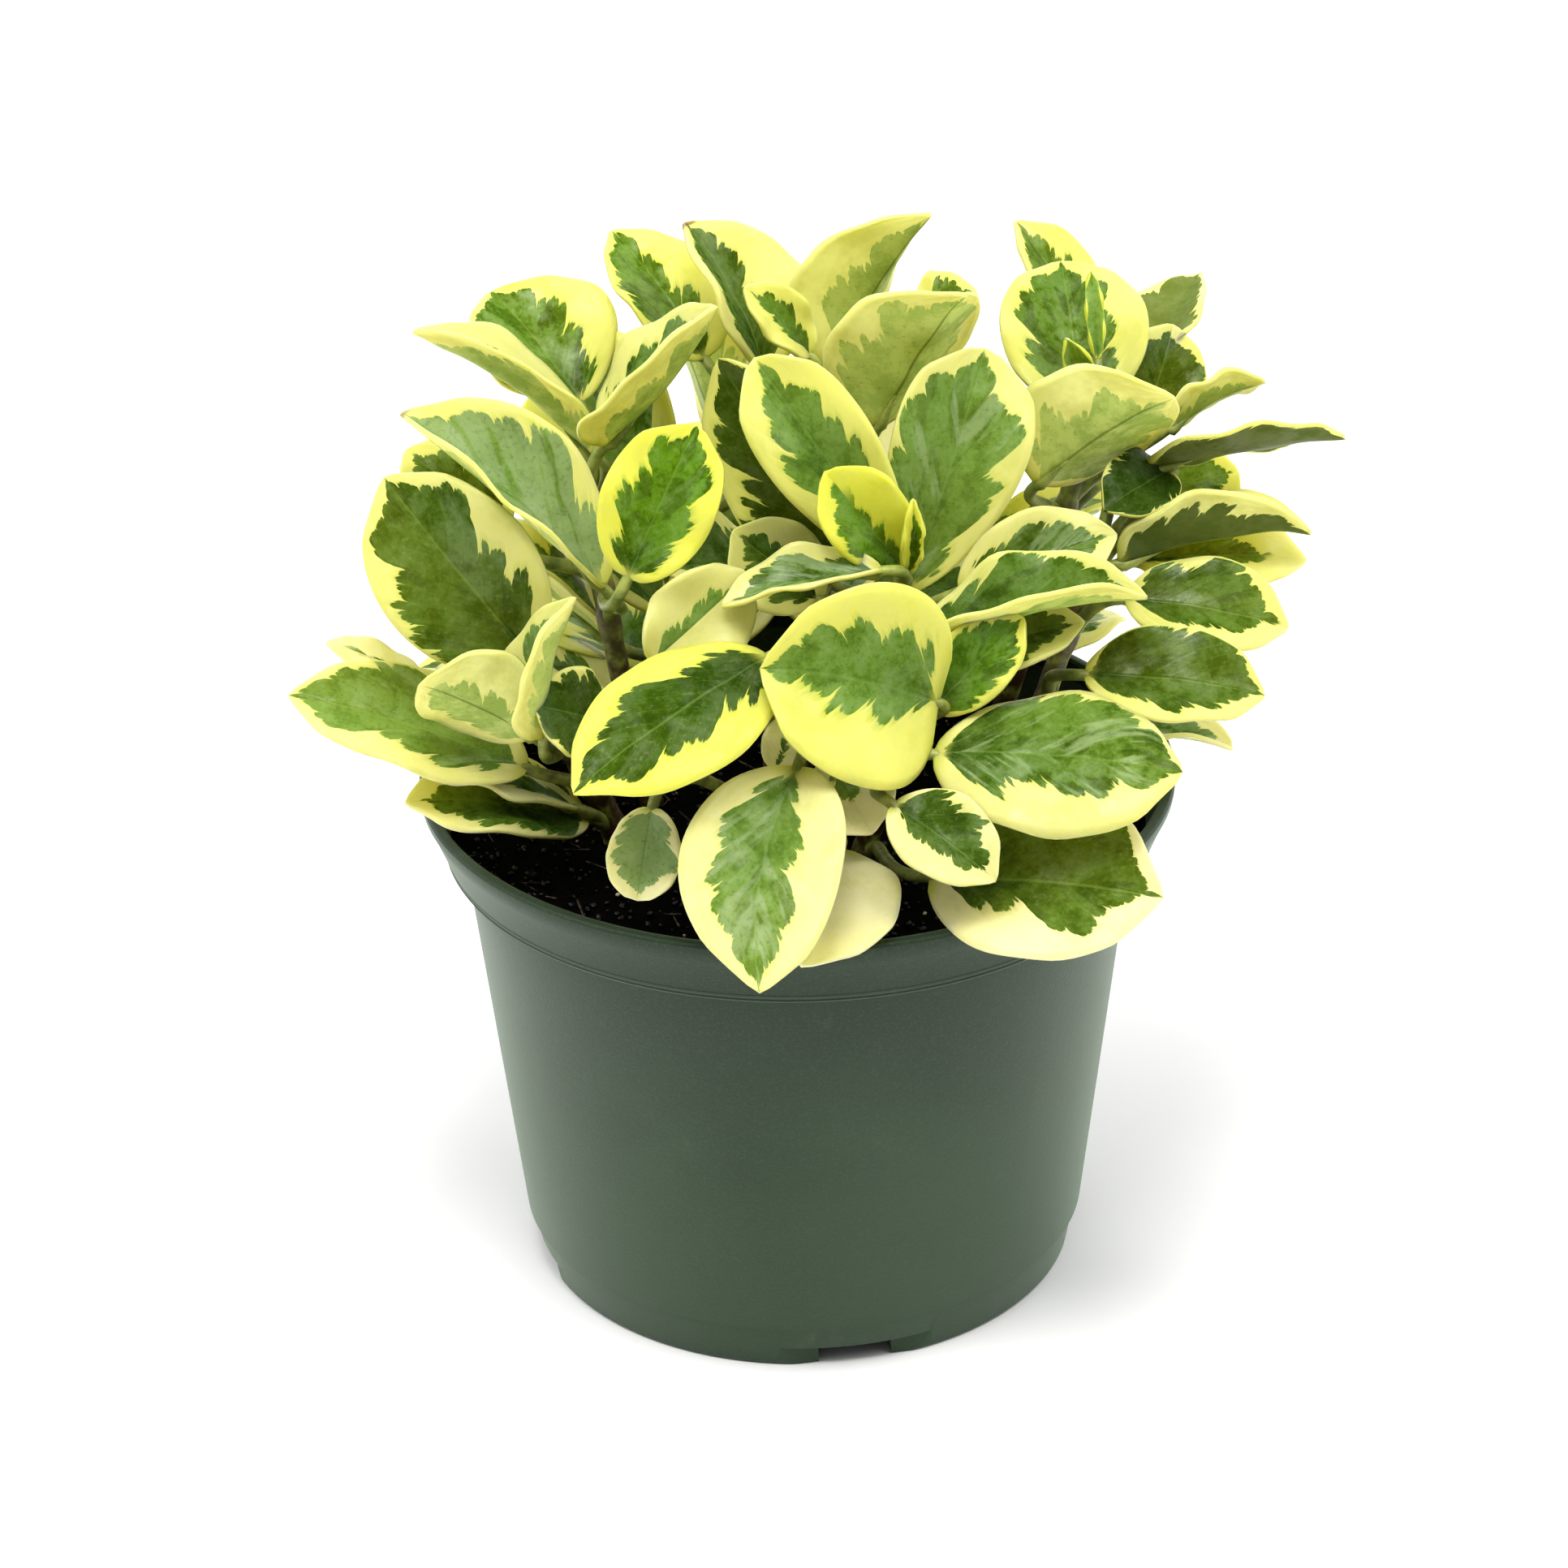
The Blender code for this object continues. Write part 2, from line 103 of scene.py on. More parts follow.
def connect(shader, **sockets):
    for socket, source in sockets.items():
        shader.id_data.links.new(source, shader.inputs[socket.replace("_", " ")])


def isLink(value):
    return isinstance(value, bpy.types.NodeSocket)


def addNode(tree, kind, inputs=None, **settings):
    # an input is a link from another node, or a plain value
    made = tree.nodes.new(kind)
    for name, value in settings.items():
        setattr(made, name, value)
    for key, value in (inputs or {}).items():
        if isLink(value):
            tree.links.new(value, made.inputs[key])
        else:
            made.inputs[key].default_value = value
    return made


def addTo(kind, inputs, **settings):
    # adds a node to the tree that its inputs come from
    tree = next(value.id_data for value in inputs.values() if isLink(value))
    return addNode(tree, kind, inputs, **settings)


def calc(operation, *values, clamp=False):
    inputs = dict(enumerate(values))
    return addTo("ShaderNodeMath", inputs, operation=operation, use_clamp=clamp).outputs[0]


def ease(value, low, high):
    # 0 below low, 1 above high, smooth between
    values = {"Value": value, "From Min": low, "From Max": high}
    return addTo("ShaderNodeMapRange", values, interpolation_type="SMOOTHSTEP").outputs["Result"]


def remap(value, low, high):
    values = {"Value": value, "To Min": low, "To Max": high}
    return addTo("ShaderNodeMapRange", values).outputs["Result"]


def mixColour(share, first, second):
    values = {0: share}
    for index, colour in ((6, first), (7, second)):
        values[index] = colour if isLink(colour) else (*colour, 1)
    return addTo("ShaderNodeMix", values, data_type="RGBA").outputs[2]


def addLayers(colour, masks, layers, colours):
    # lays colours over each other, each one where its mask shows it
    for mask, span, share, over in layers:
        shown = ease(masks[mask], *span) if span else masks[mask]
        colour = mixColour(calc("MULTIPLY", shown, share), colour, colours[over])
    return colour


def splitParts(vector):
    return addTo("ShaderNodeSeparateXYZ", {0: vector}).outputs


def joinParts(*parts):
    return addTo("ShaderNodeCombineXYZ", dict(enumerate(parts))).outputs[0]


def readParts(tree, attribute):
    # the three values that a mesh attribute holds
    read = addNode(tree, "ShaderNodeAttribute", attribute_name=attribute)
    return splitParts(read.outputs["Vector"])


def objectPlace(tree):
    return addNode(tree, "ShaderNodeTexCoord").outputs["Object"]


def noiseAt(place, scale, detail, rough):
    values = {"Vector": place, "Scale": scale, "Detail": detail, "Roughness": rough}
    return addTo("ShaderNodeTexNoise", values).outputs["Fac"]


def bumpOf(height, strength, distance):
    values = {"Height": height, "Strength": strength, "Distance": distance}
    return addTo("ShaderNodeBump", values).outputs[0]


# Leaf finish: green centre with toothed edges along the side veins, pale margin

leafColours = {
    "margin": (0.635, 0.610, 0.220),
    "marginYoung": (0.67, 0.655, 0.088),
    "marginOld": (0.73, 0.67, 0.38),
    "green": (0.098, 0.180, 0.022),
    "greenDeep": (0.022, 0.049, 0.004),
    "greenPale": (0.195, 0.315, 0.075),
    "greenYoung": (0.105, 0.230, 0.008),
    # grey-green: the leaf's own silvery streaks, and painted sheen where the waxy skin would catch the
    # light
    "grey": (0.265, 0.345, 0.185),
    "fringe": (0.360, 0.430, 0.055),
    "stalk": (0.46, 0.47, 0.09),
    "burnt": (0.10, 0.04, 0.02),
    # underside colours are paler than the top: partly the leaf's paler underside, partly painted light
    # shining through the leaf
    "underMarginAndGlow": (0.86, 0.84, 0.33),
    "underGreen": (0.300, 0.410, 0.120),
    "underPaleAndGlow": (0.460, 0.560, 0.195),
    "underDark": (0.050, 0.090, 0.014),
    "underRib": (0.12, 0.16, 0.035),
}
leafGloss = {
    "roughness": (0.26, 0.46),
    "underRoughness": (0.38, 0.58),
    "specular": (0.0, 0.38),
    "underSpecular": (0.02, 0.20),
    "waxy": (0.40, 0.62),
    "subsurface": 0.62,
    "depth": 0.0045,
    "radius": (1.0, 0.9, 0.3),
}
leafRelief = {
    "bump": 0.4,
    "underBump": -0.3,
    "distance": 0.0004,
    "midrib": 0.06,
    "ridgePower": 5.0,
    "ridges": -0.10,
    "pores": 0.12,
    "patches": 0.4,
}
# how far the green reaches, mostly in shares of a leaf's length and half width
leafPattern = {
    "veinSlant": 0.45,
    "veinCount": 9.0,
    "sideShift": 4.3,
    "lobeShift": 7.3,
    "opening": (-0.03, 0.13),
    "closing": (-0.26, 0.06),
    "wander": 0.07,
    "drift": 0.36,
    "lift": 0.03,
    "square": 0.62,
    "furthest": 0.968,
    "leastGreen": (0.02, 0.12),
    "blur": 0.010,
    "fringe": 0.10,
}
leafLobes = {
    "coarse": {"count": 4.6, "spread": 0.19, "notch": 0.42, "depth": 0.13},
    "fine": {"count": 11.0, "spread": 0.06, "notch": 0.45, "depth": 0.055},
    "teeth": {"count": 34.0, "spread": 0.014, "notch": 0.45, "depth": 0.016},
}
# drawn out along the side veins: scale along and across, shift, detail, roughness
veinNoises = {
    "wander": (9.0, 4.0, 3.0, 2.0, 0.5),
    "drift": (3.0, 0.8, 0.0, 2.0, 0.5),
    "streak": (7.0, 1.2, 11.0, 3.0, 0.6),
    "patch": (4.5, 2.2, 13.0, 3.0, 0.6),
}
# even all over the skin: scale, detail, roughness
skinNoises = {
    "cloud": (150.0, 5.0, 0.68),
    "grain": (1000.0, 3.0, 0.7),
    "pores": (1400.0, 2.0, 0.6),
}
# drawn out along the leaf: scale along and across, scale in all, detail, roughness
blotchNoise = (3.0, 1.4, 1.3, 4.0, 0.6)
# how strong the masks for the colours are, and where they start and end
leafTones = {
    "rib": (0.03, 0.006),
    "greyFrom": 0.70,
    "greyGain": -0.26,
    "greyBlend": 0.12,
    "greyShare": 0.55,
    "calm": -0.75,
    # painted shade: the green darkens towards a leaf's base, by the stem, where the plant shades it
    "shadeSlant": 0.25,
    "shade": (0.60, 0.08),
    "shadeLeast": 0.45,
    "shadeGain": 0.40,
    "darkPatch": (0.48, 0.40),
    "darkCloud": (0.50, 0.38),
    "limeLeast": 0.30,
    "limeYoung": 0.45,
    "stalkEnd": 0.09,
    "burntReach": -0.05,
    "burntBlend": 0.02,
    "underCream": (0.3, 0.7),
    "underCloud": (0.4, 0.6),
    "underGreen": 0.95,
}
# mask, its start and end where it is eased, share and colour
marginLayers = [
    ("cloud", (0.48, 0.66), 0.14, "fringe"),
    ("blotch", (0.50, 0.68), 0.20, "fringe"),
]
greenLayers = [
    ("paler", None, 0.85, "greenPale"),
    # painted shade towards a leaf's base
    ("shade", None, 1.0, "greenDeep"),
    ("darkPatch", None, 0.50, "greenDeep"),
    ("darkCloud", None, 0.50, "greenDeep"),
    ("streak", (0.52, 0.66), 0.28, "greenPale"),
    ("cloud", (0.52, 0.68), 0.34, "greenPale"),
    # silvery streaks along the veins, partly painted sheen
    ("greyStreak", None, 1.0, "grey"),
    # darker green: a leaf's own tone, and painted shade deep inside the plant
    ("darkToneAndShade", None, 0.8, "greenDeep"),
    ("grain", (0.48, 0.32), 0.30, "greenDeep"),
    ("grain", (0.54, 0.72), 0.20, "grey"),
    ("veinWave", (0.95, 1.0), 0.10, "greenPale"),
    ("rib", None, 0.30, "greenPale"),
]
underLayers = [
    ("paler", None, 0.8, "underPaleAndGlow"),
    # darker underside: a leaf's own tone, and painted shade deep inside the plant
    ("darkToneAndShade", None, 0.95, "underDark"),
    ("grain", (0.45, 0.30), 0.30, "underDark"),
]
underRibLayers = [("rib", None, 0.7, "underRib")]


def lobed(vein, seed, size):
    # lobes of random width and length, their ends square to the veins and rounded off
    shift = calc("MULTIPLY", seed, leafPattern["lobeShift"])
    run = calc("MULTIPLY_ADD", vein, size["count"], shift)
    values = {"W": run, "Scale": 1.0}
    cells, borders = (
        addTo("ShaderNodeTexVoronoi", values, voronoi_dimensions="1D", feature=feature).outputs
        for feature in ("F1", "DISTANCE_TO_EDGE")
    )
    chance = splitParts(cells["Color"])[0]
    length = calc("MULTIPLY", calc("SUBTRACT", chance, 0.5), size["spread"])
    offset = calc("SUBTRACT", run, cells["W"])
    length = calc("MULTIPLY_ADD", offset, -leafPattern["square"] / size["count"], length)
    inwards = calc("DIVIDE", borders["Distance"], size["notch"], clamp=True)
    flank = calc("SUBTRACT", 1.0, inwards)
    arc = calc("SQRT", calc("SUBTRACT", 1.0, calc("MULTIPLY", flank, flank)))
    return calc("MULTIPLY_ADD", calc("SUBTRACT", 1.0, arc), -size["depth"], length)


def leafGrounds(tree):
    # where a point lies on its leaf, and the noises there
    leafMap = addNode(tree, "ShaderNodeUVMap", uv_map="leafMap").outputs[0]
    along, fromEdge, _ = splitParts(leafMap)
    across = calc("MULTIPLY_ADD", fromEdge, 2.0, -1.0)
    reach = calc("ABSOLUTE", across)
    onRight = calc("GREATER_THAN", across, 0.0)
    greenLeft, greenRight, seed = readParts(tree, "leafGreen")
    vein = calc("MULTIPLY_ADD", reach, -leafPattern["veinSlant"], along)
    sideSeed = calc("MULTIPLY_ADD", onRight, leafPattern["sideShift"], seed)
    sideGap = calc("SUBTRACT", greenRight, greenLeft)
    veinTurns = calc("MULTIPLY", vein, math.tau * leafPattern["veinCount"])
    grounds = {
        "along": along,
        "reach": reach,
        "vein": vein,
        "sideSeed": sideSeed,
        "extent": calc("MULTIPLY_ADD", sideGap, onRight, greenLeft),
        "veinWave": calc("COSINE", veinTurns),
        "rib": ease(reach, *leafTones["rib"]),
    }
    for name, (alongScale, acrossScale, shift, detail, rough) in veinNoises.items():
        place = joinParts(
            calc("MULTIPLY", vein, alongScale),
            calc("MULTIPLY", reach, acrossScale),
            calc("ADD", sideSeed, shift),
        )
        grounds[name] = noiseAt(place, 1.0, detail, rough)
    place = objectPlace(tree)
    for name, (scale, detail, rough) in skinNoises.items():
        grounds[name] = noiseAt(place, scale, detail, rough)
    alongScale, acrossScale, *values = blotchNoise
    place = joinParts(
        calc("MULTIPLY", along, alongScale),
        calc("MULTIPLY", across, acrossScale),
        seed,
    )
    grounds["blotch"] = noiseAt(place, *values)
    return grounds


def greenArea(grounds, spanStart, spanEnd):
    # how far out the green reaches: a smooth span, then lobes and small teeth
    def spanEase(end, shifts):
        return ease(grounds["along"], *(calc("ADD", end, shift) for shift in shifts))

    closing = spanEase(spanEnd, leafPattern["closing"])
    kept = calc("SUBTRACT", 1.0, closing)
    kept = calc("MULTIPLY", spanEase(spanStart, leafPattern["opening"]), kept)
    edge = calc("MULTIPLY", grounds["extent"], kept)
    wander = calc("SUBTRACT", grounds["wander"], 0.5)
    bent = calc("MULTIPLY_ADD", wander, leafPattern["wander"], grounds["vein"])
    drift = calc("SUBTRACT", grounds["drift"], 0.5)
    bite = calc("ADD", edge, leafPattern["lift"])
    bite = calc("MULTIPLY_ADD", drift, leafPattern["drift"], bite)
    for size in leafLobes.values():
        bite = calc("ADD", bite, lobed(bent, grounds["sideSeed"], size))
    bite = calc("MINIMUM", bite, leafPattern["furthest"])
    inside = calc("SUBTRACT", bite, grounds["reach"])
    hasGreen = ease(edge, *leafPattern["leastGreen"])
    blur = leafPattern["blur"]
    green = calc("MULTIPLY", ease(inside, -blur, blur), hasGreen)
    fringe = calc("MULTIPLY", ease(inside, -leafPattern["fringe"], blur), hasGreen)
    return green, fringe


def leafMasks(grounds, grey, dark):
    # streaks along the veins, watery clouds, painted shade that darkens a leaf towards its base by the
    # stem, and the darker green of the dark value, partly a leaf's own tone and partly painted shade deep
    # inside the plant
    # the dark value darkens the green: partly a leaf's own darker tone, partly painted shade on leaves deep
    # inside the plant
    darkToneAndShade = calc("MAXIMUM", dark, 0.0)
    paler = calc("MAXIMUM", calc("MULTIPLY", dark, -1.0), 0.0)
    calm = calc("MULTIPLY_ADD", paler, leafTones["calm"], 1.0)
    # grey streaks: partly the leaf's own silvery marks, partly painted sheen
    greyLow = calc("MULTIPLY_ADD", grey, leafTones["greyGain"], leafTones["greyFrom"])
    greyHigh = calc("ADD", greyLow, leafTones["greyBlend"])
    greyStreak = ease(grounds["streak"], greyLow, greyHigh)
    # painted shade that darkens a leaf towards its base
    fromBase = calc("MULTIPLY_ADD", grounds["reach"], leafTones["shadeSlant"], grounds["along"])
    shaded = calc("MULTIPLY", ease(fromBase, *leafTones["shade"]), calm)
    depth = calc("MULTIPLY_ADD", darkToneAndShade, leafTones["shadeGain"], leafTones["shadeLeast"])
    darkPatch = ease(grounds["patch"], *leafTones["darkPatch"])
    darkCloud = ease(grounds["cloud"], *leafTones["darkCloud"])
    return {
        **grounds,
        "darkToneAndShade": darkToneAndShade,
        "paler": paler,
        "greyStreak": calc("MULTIPLY", greyStreak, leafTones["greyShare"]),
        "shade": calc("MULTIPLY", depth, shaded),
        "darkPatch": calc("MULTIPLY", darkPatch, calm),
        "darkCloud": calc("MULTIPLY", darkCloud, calm),
    }


def topColour(masks, green, fringe, age):
    young = ease(age, 0.0, 1.0)
    old = ease(calc("MULTIPLY", age, -1.0), 0.0, 1.0)
    margin = mixColour(young, leafColours["margin"], leafColours["marginYoung"])
    margin = mixColour(old, margin, leafColours["marginOld"])
    margin = addLayers(margin, masks, marginLayers, leafColours)
    body = mixColour(young, leafColours["green"], leafColours["greenYoung"])
    body = addLayers(body, masks, greenLayers, leafColours)
    lime = calc("MULTIPLY_ADD", young, leafTones["limeYoung"], leafTones["limeLeast"])
    lime = calc("MULTIPLY", fringe, lime)
    margin = mixColour(lime, margin, leafColours["fringe"])
    return mixColour(green, margin, body)


def underColour(masks, green):
    # the bright underside colours stand partly for painted light shining through the leaf
    cream = ease(masks["blotch"], *leafTones["underCream"])
    margin = mixColour(cream, leafColours["underMarginAndGlow"], leafColours["margin"])
    cloud = ease(masks["cloud"], *leafTones["underCloud"])
    body = mixColour(cloud, leafColours["underGreen"], leafColours["underPaleAndGlow"])
    body = addLayers(body, masks, underLayers, leafColours)
    shown = calc("MULTIPLY", green, leafTones["underGreen"])
    colour = mixColour(shown, margin, body)
    return addLayers(colour, masks, underRibLayers, leafColours)


def leafMaterial(name, under):
    finish, tree, shader = startMaterial(
        name,
        Subsurface_Weight=leafGloss["subsurface"],
        Subsurface_Scale=leafGloss["depth"],
        Subsurface_Radius=leafGloss["radius"],
    )
    spanStart, spanEnd, grey = readParts(tree, "leafSpan")
    age, dark, burnt = readParts(tree, "leafAgeDarkBurnt")
    grounds = leafGrounds(tree)
    along, reach = grounds["along"], grounds["reach"]
    green, fringe = greenArea(grounds, spanStart, spanEnd)
    masks = leafMasks(grounds, grey, dark)
    if under:
        colour = underColour(masks, green)
    else:
        colour = topColour(masks, green, fringe, age)
    atStalk = ease(along, leafTones["stalkEnd"], 0.0)
    colour = mixColour(atStalk, colour, leafColours["stalk"])
    tipEdge = calc("MULTIPLY_ADD", burnt, leafTones["burntReach"], 1.0)
    tipEnd = calc("ADD", tipEdge, leafTones["burntBlend"])
    tip = calc("MULTIPLY", ease(along, tipEdge, tipEnd), burnt)
    colour = mixColour(tip, colour, leafColours["burnt"])
    rough = remap(masks["blotch"], *leafGloss["underRoughness" if under else "roughness"])
    waxy = ease(masks["cloud"], *leafGloss["waxy"])
    shine = remap(waxy, *leafGloss["underSpecular" if under else "specular"])
    wave = calc("MULTIPLY_ADD", masks["veinWave"], 0.5, 0.5)
    ridge = calc("POWER", wave, leafRelief["ridgePower"])
    sunken = ease(reach, 0.0, leafRelief["midrib"])
    height = calc("MULTIPLY_ADD", ridge, leafRelief["ridges"], sunken)
    height = calc("MULTIPLY_ADD", masks["pores"], leafRelief["pores"], height)
    height = calc("MULTIPLY_ADD", masks["patch"], leafRelief["patches"], height)
    bump = bumpOf(height, leafRelief["underBump" if under else "bump"], leafRelief["distance"])
    connect(shader, Base_Color=colour, Roughness=rough, Specular_IOR_Level=shine, Normal=bump)
    return finish


leafTop = leafMaterial("leafTop", False)
leafUnder = leafMaterial("leafUnder", True)


# Stalk finish: pale green petioles, stems browner and darker low down, partly woody and partly painted
# shade inside the plant, with scars

stalkColours = {
    "pale": (0.34, 0.38, 0.085),
    "green": (0.15, 0.20, 0.035),
    "brown": (0.060, 0.026, 0.014),
}
stalkFinish = {
    "mottle": (260.0, 3.0, 0.6),
    "grain": (900.0, 2.0, 0.5),
    "greenFrom": (0.35, 0.7),
    "brownHeight": (0.168, 0.118),
    "brownMottle": (0.2, 0.6),
    "bump": (0.25, 0.0003),
}
stalkLayers = [
    ("brownLowAndShade", None, 1.0, "brown"),
    ("scar", None, 0.75, "brown"),
]


def stalkMaterial():
    finish, tree, shader = startMaterial(
        "stalkSkin", Roughness=0.42, Subsurface_Weight=0.08, Subsurface_Scale=0.002
    )
    place = objectPlace(tree)
    height = splitParts(place)[2]
    woody, scar, _ = readParts(tree, "stalkKind")
    mottle = noiseAt(place, *stalkFinish["mottle"])
    greener = ease(mottle, *stalkFinish["greenFrom"])
    colour = mixColour(greener, stalkColours["pale"], stalkColours["green"])
    # browner and darker low down: partly woody stems, partly painted shade inside the plant
    brownLowAndShade = calc("MULTIPLY", ease(height, *stalkFinish["brownHeight"]), woody)
    brownLowAndShade = calc("MULTIPLY", brownLowAndShade, ease(mottle, *stalkFinish["brownMottle"]))
    masks = {"brownLowAndShade": brownLowAndShade, "scar": scar}
    colour = addLayers(colour, masks, stalkLayers, stalkColours)
    bump = bumpOf(noiseAt(place, *stalkFinish["grain"]), *stalkFinish["bump"])
    connect(shader, Base_Color=colour, Normal=bump)
    return finish


stalkSkin = stalkMaterial()
print("leaf and stalk finishes made")


# Leaf form: the same rule as the solids, with a finer grid

leafShape = {
    "taper": (0.6, 0.6),
    "fold": 16,
    "cup": 10,
    "arch": 25,
    "skew": 0.2,
    "bow": 0,
    "wave": 0.8,
    "roll": 0.05,
    "point": 0.40,
}
leafLook = {
    "green": (0.62, 0.62),
    "span": (0.03, 0.93),
    # grey: how much grey shows, partly silvery marks and partly painted sheen
    "grey": 0.15,
    "age": 0.1,
    # dark: a darker green, partly the leaf's own tone and partly painted shade on leaves deep inside the
    # plant
    "dark": 0.0,
    "burnt": 0.0,
    "flipped": False,
}
leafBuild = {
    "alongSteps": 30,
    "acrossSteps": 18,
    "thickness": 0.85,
    "crease": 0.9,
    "pinchFrom": 0.87,
    "rollFrom": 0.7,
    "ripple": 0.6,
    "rippleScale": 0.11,
    "flutter": 0.55,
}
leafWaves = {
    "wave": {"count": 1.6, "leafShift": 2.4, "sideShift": 1.3},
    "flutter": {"count": 2.7, "leafShift": 1.7, "sideShift": 2.1},
}


def leaf(base, tip, width, facing, **changes):
    # one leaf: its two ends, its width, where its upper side faces, and what differs from the usual
    row = {"base": Vector(base), "tip": Vector(tip), "width": width, "facing": facing}
    return {**row, **leafShape, **leafLook, **changes}


def outlineShare(along, row):
    # a leaf's half width there, as a share of its widest, with a pinched tip
    towardsBase, towardsTip = row["taper"]
    widest = towardsBase / (towardsBase + towardsTip)
    most = widest**towardsBase * (1 - widest) ** towardsTip
    pinch = row["point"] * max(0.0, along - leafBuild["pinchFrom"]) / (1 - leafBuild["pinchFrom"])
    return along**towardsBase * (1 - along) ** towardsTip / most * (1 - pinch)


def leafFrame(row):
    # a leaf's base and length, and its three directions: forward, up from its face, to its side
    chord = row["tip"] - row["base"]
    forward = chord.normalized()
    roundAngle, upAngle = (math.radians(angle) for angle in row["facing"])
    level = math.cos(upAngle)
    upper = Vector((level * math.cos(roundAngle), level * math.sin(roundAngle), math.sin(upAngle)))
    normal = (upper - upper.dot(forward) * forward).normalized()
    return row["base"], chord.length, forward, normal, forward.cross(normal)


def waveAt(kind, along, number, sign):
    # every leaf and each of its halves waves at its own stage
    size = leafWaves[kind]
    shift = size["leafShift"] * number + size["sideShift"] * sign
    return math.sin(math.tau * size["count"] * along + shift)


def leafPoint(row, number, along, across):
    base, length, forward, normal, side = leafFrame(row)
    half = outlineShare(along, row)
    reach = abs(across)
    sign = math.copysign(1, across) if across else 0
    lean = math.radians(row["fold"] + row["cup"] * reach / 2)
    out = half * row["width"] / 2 * reach
    crease = leafBuild["crease"] * half
    sideways = out * math.cos(lean) * sign
    raised = (math.hypot(out, crease) - crease) * math.sin(lean)
    raised += row["wave"] * reach**2 * half * waveAt("wave", along, number, sign)
    raised += leafBuild["flutter"] * reach**3 * half * waveAt("flutter", along, number, sign)
    curled = max(0.0, reach - leafBuild["rollFrom"]) / (1 - leafBuild["rollFrom"])
    raised -= row["roll"] * row["width"] / 2 * half * curled**2
    bulge = along * (1 - along) * (1 + row["skew"] * (2 * along - 1)) * length / 2
    up = math.radians(row["arch"]) * bulge + raised
    right = math.radians(row["bow"]) * bulge + sideways
    return base + forward * length * along + normal * up + side * right


def addLeaf(shell, layers, row, number, seed):
    grown = bmesh.ops.create_grid(
        shell,
        x_segments=leafBuild["alongSteps"],
        y_segments=leafBuild["acrossSteps"],
        size=1.0,
    )["verts"]
    normal = leafFrame(row)[3]
    for vertex in grown:
        # rows stand closer together towards both ends
        even = (vertex.co.x + 1) / 2
        rounded = (1 - math.cos(math.pi * even)) / 2
        along = min(1.0, max(0.0, (even + rounded) / 2))
        across = vertex.co.y
        place = leafPoint(row, number, along, across)
        wobble = noise.noise(place * leafBuild["rippleScale"] + Vector((seed, 0, 0)))
        vertex.co = toMetres(place + normal * leafBuild["ripple"] * wobble)
        vertex[layers["leafGreen"]] = (*row["green"], seed)
        vertex[layers["leafSpan"]] = (*row["span"], row["grey"])
        vertex[layers["leafAgeDarkBurnt"]] = (row["age"], row["dark"], row["burnt"])
        vertex[layers["leafPlace"]] = (along, (across + 1) / 2, 0)


def makeBlades(name, rows, seeds):
    shell = bmesh.new()
    keys = ("leafGreen", "leafSpan", "leafAgeDarkBurnt", "leafPlace")
    layers = {key: shell.verts.layers.float_vector.new(key) for key in keys}
    for number, (row, seed) in enumerate(zip(rows, seeds)):
        already = len(shell.faces)
        addLeaf(shell, layers, row, number, seed)
        shell.faces.ensure_lookup_table()
        for face in shell.faces[already:]:
            face.material_index = int(row["flipped"])
    leafMap = shell.loops.layers.uv.new("leafMap")
    for face in shell.faces:
        for corner in face.loops:
            corner[leafMap].uv = corner.vert[layers["leafPlace"]].xy
    bmesh.ops.remove_doubles(shell, verts=shell.verts, dist=weld * mm)
    bmesh.ops.reverse_faces(shell, faces=shell.faces)
    blades = finishMesh(name, shell, [leafTop, leafUnder, leafTop])
    thickness = blades.modifiers.new("thickness", "SOLIDIFY")
    thickness.thickness = leafBuild["thickness"] * mm
    thickness.offset = 0
    thickness.material_offset = 1
    return blades


# Stems and stalks: round tubes along smooth routes

stemBuild = {
    "radius": 2.5,
    "topRadius": 1.9,
    "budNeck": 0.75,
    "budRadius": 0.7,
    "budLength": 5.0,
    "depth": 20.0,
    "upright": 2.0,
    "sides": 14,
    "steps": 16,
    "scarSwell": 0.28,
    "scarReach": 2.88,
}
stalkBuild = {
    "radius": 1.568,
    "endRadius": 1.148,
    "swell": 1.25,
    "slimmest": 0.55,
    "fullWidth": 16.0,
    "drop": 7.0,
    "lean": 0.45,
    "handle": 0.35,
    "leafStart": 0.08,
    "lowest": 3.0,
    "highest": 1.5,
    "sides": 12,
    "steps": 14,
    "woody": 0.35,
    "scarSteps": 1.5,
    "ribEnd": 0.24,
    "ribSteps": 6,
    "ribRadius": 0.15,
    "ribSunk": 0.75,
    "ribGap": 0.1,
}


def curvePoint(handles, share):
    # a place on the curve from the first handle to the last
    first, second, third, last = handles
    rest = 1 - share
    early = first * rest**3 + second * 3 * rest * rest * share
    return early + third * 3 * rest * share * share + last * share**3


def nextRing(shell, order):
    # extrudes a ring of points and gives the new ones in the same order
    edges = [shell.edges.get(pair) for pair in zip(order, order[1:] + order[:1])]
    made = bmesh.ops.extrude_edge_only(shell, edges=edges)["geom"]
    fresh = {part for part in made if isinstance(part, bmesh.types.BMVert)}
    ahead = []
    for point in order:
        others = (edge.other_vert(point) for edge in point.link_edges)
        ahead.append(next(other for other in others if other in fresh))
    return ahead


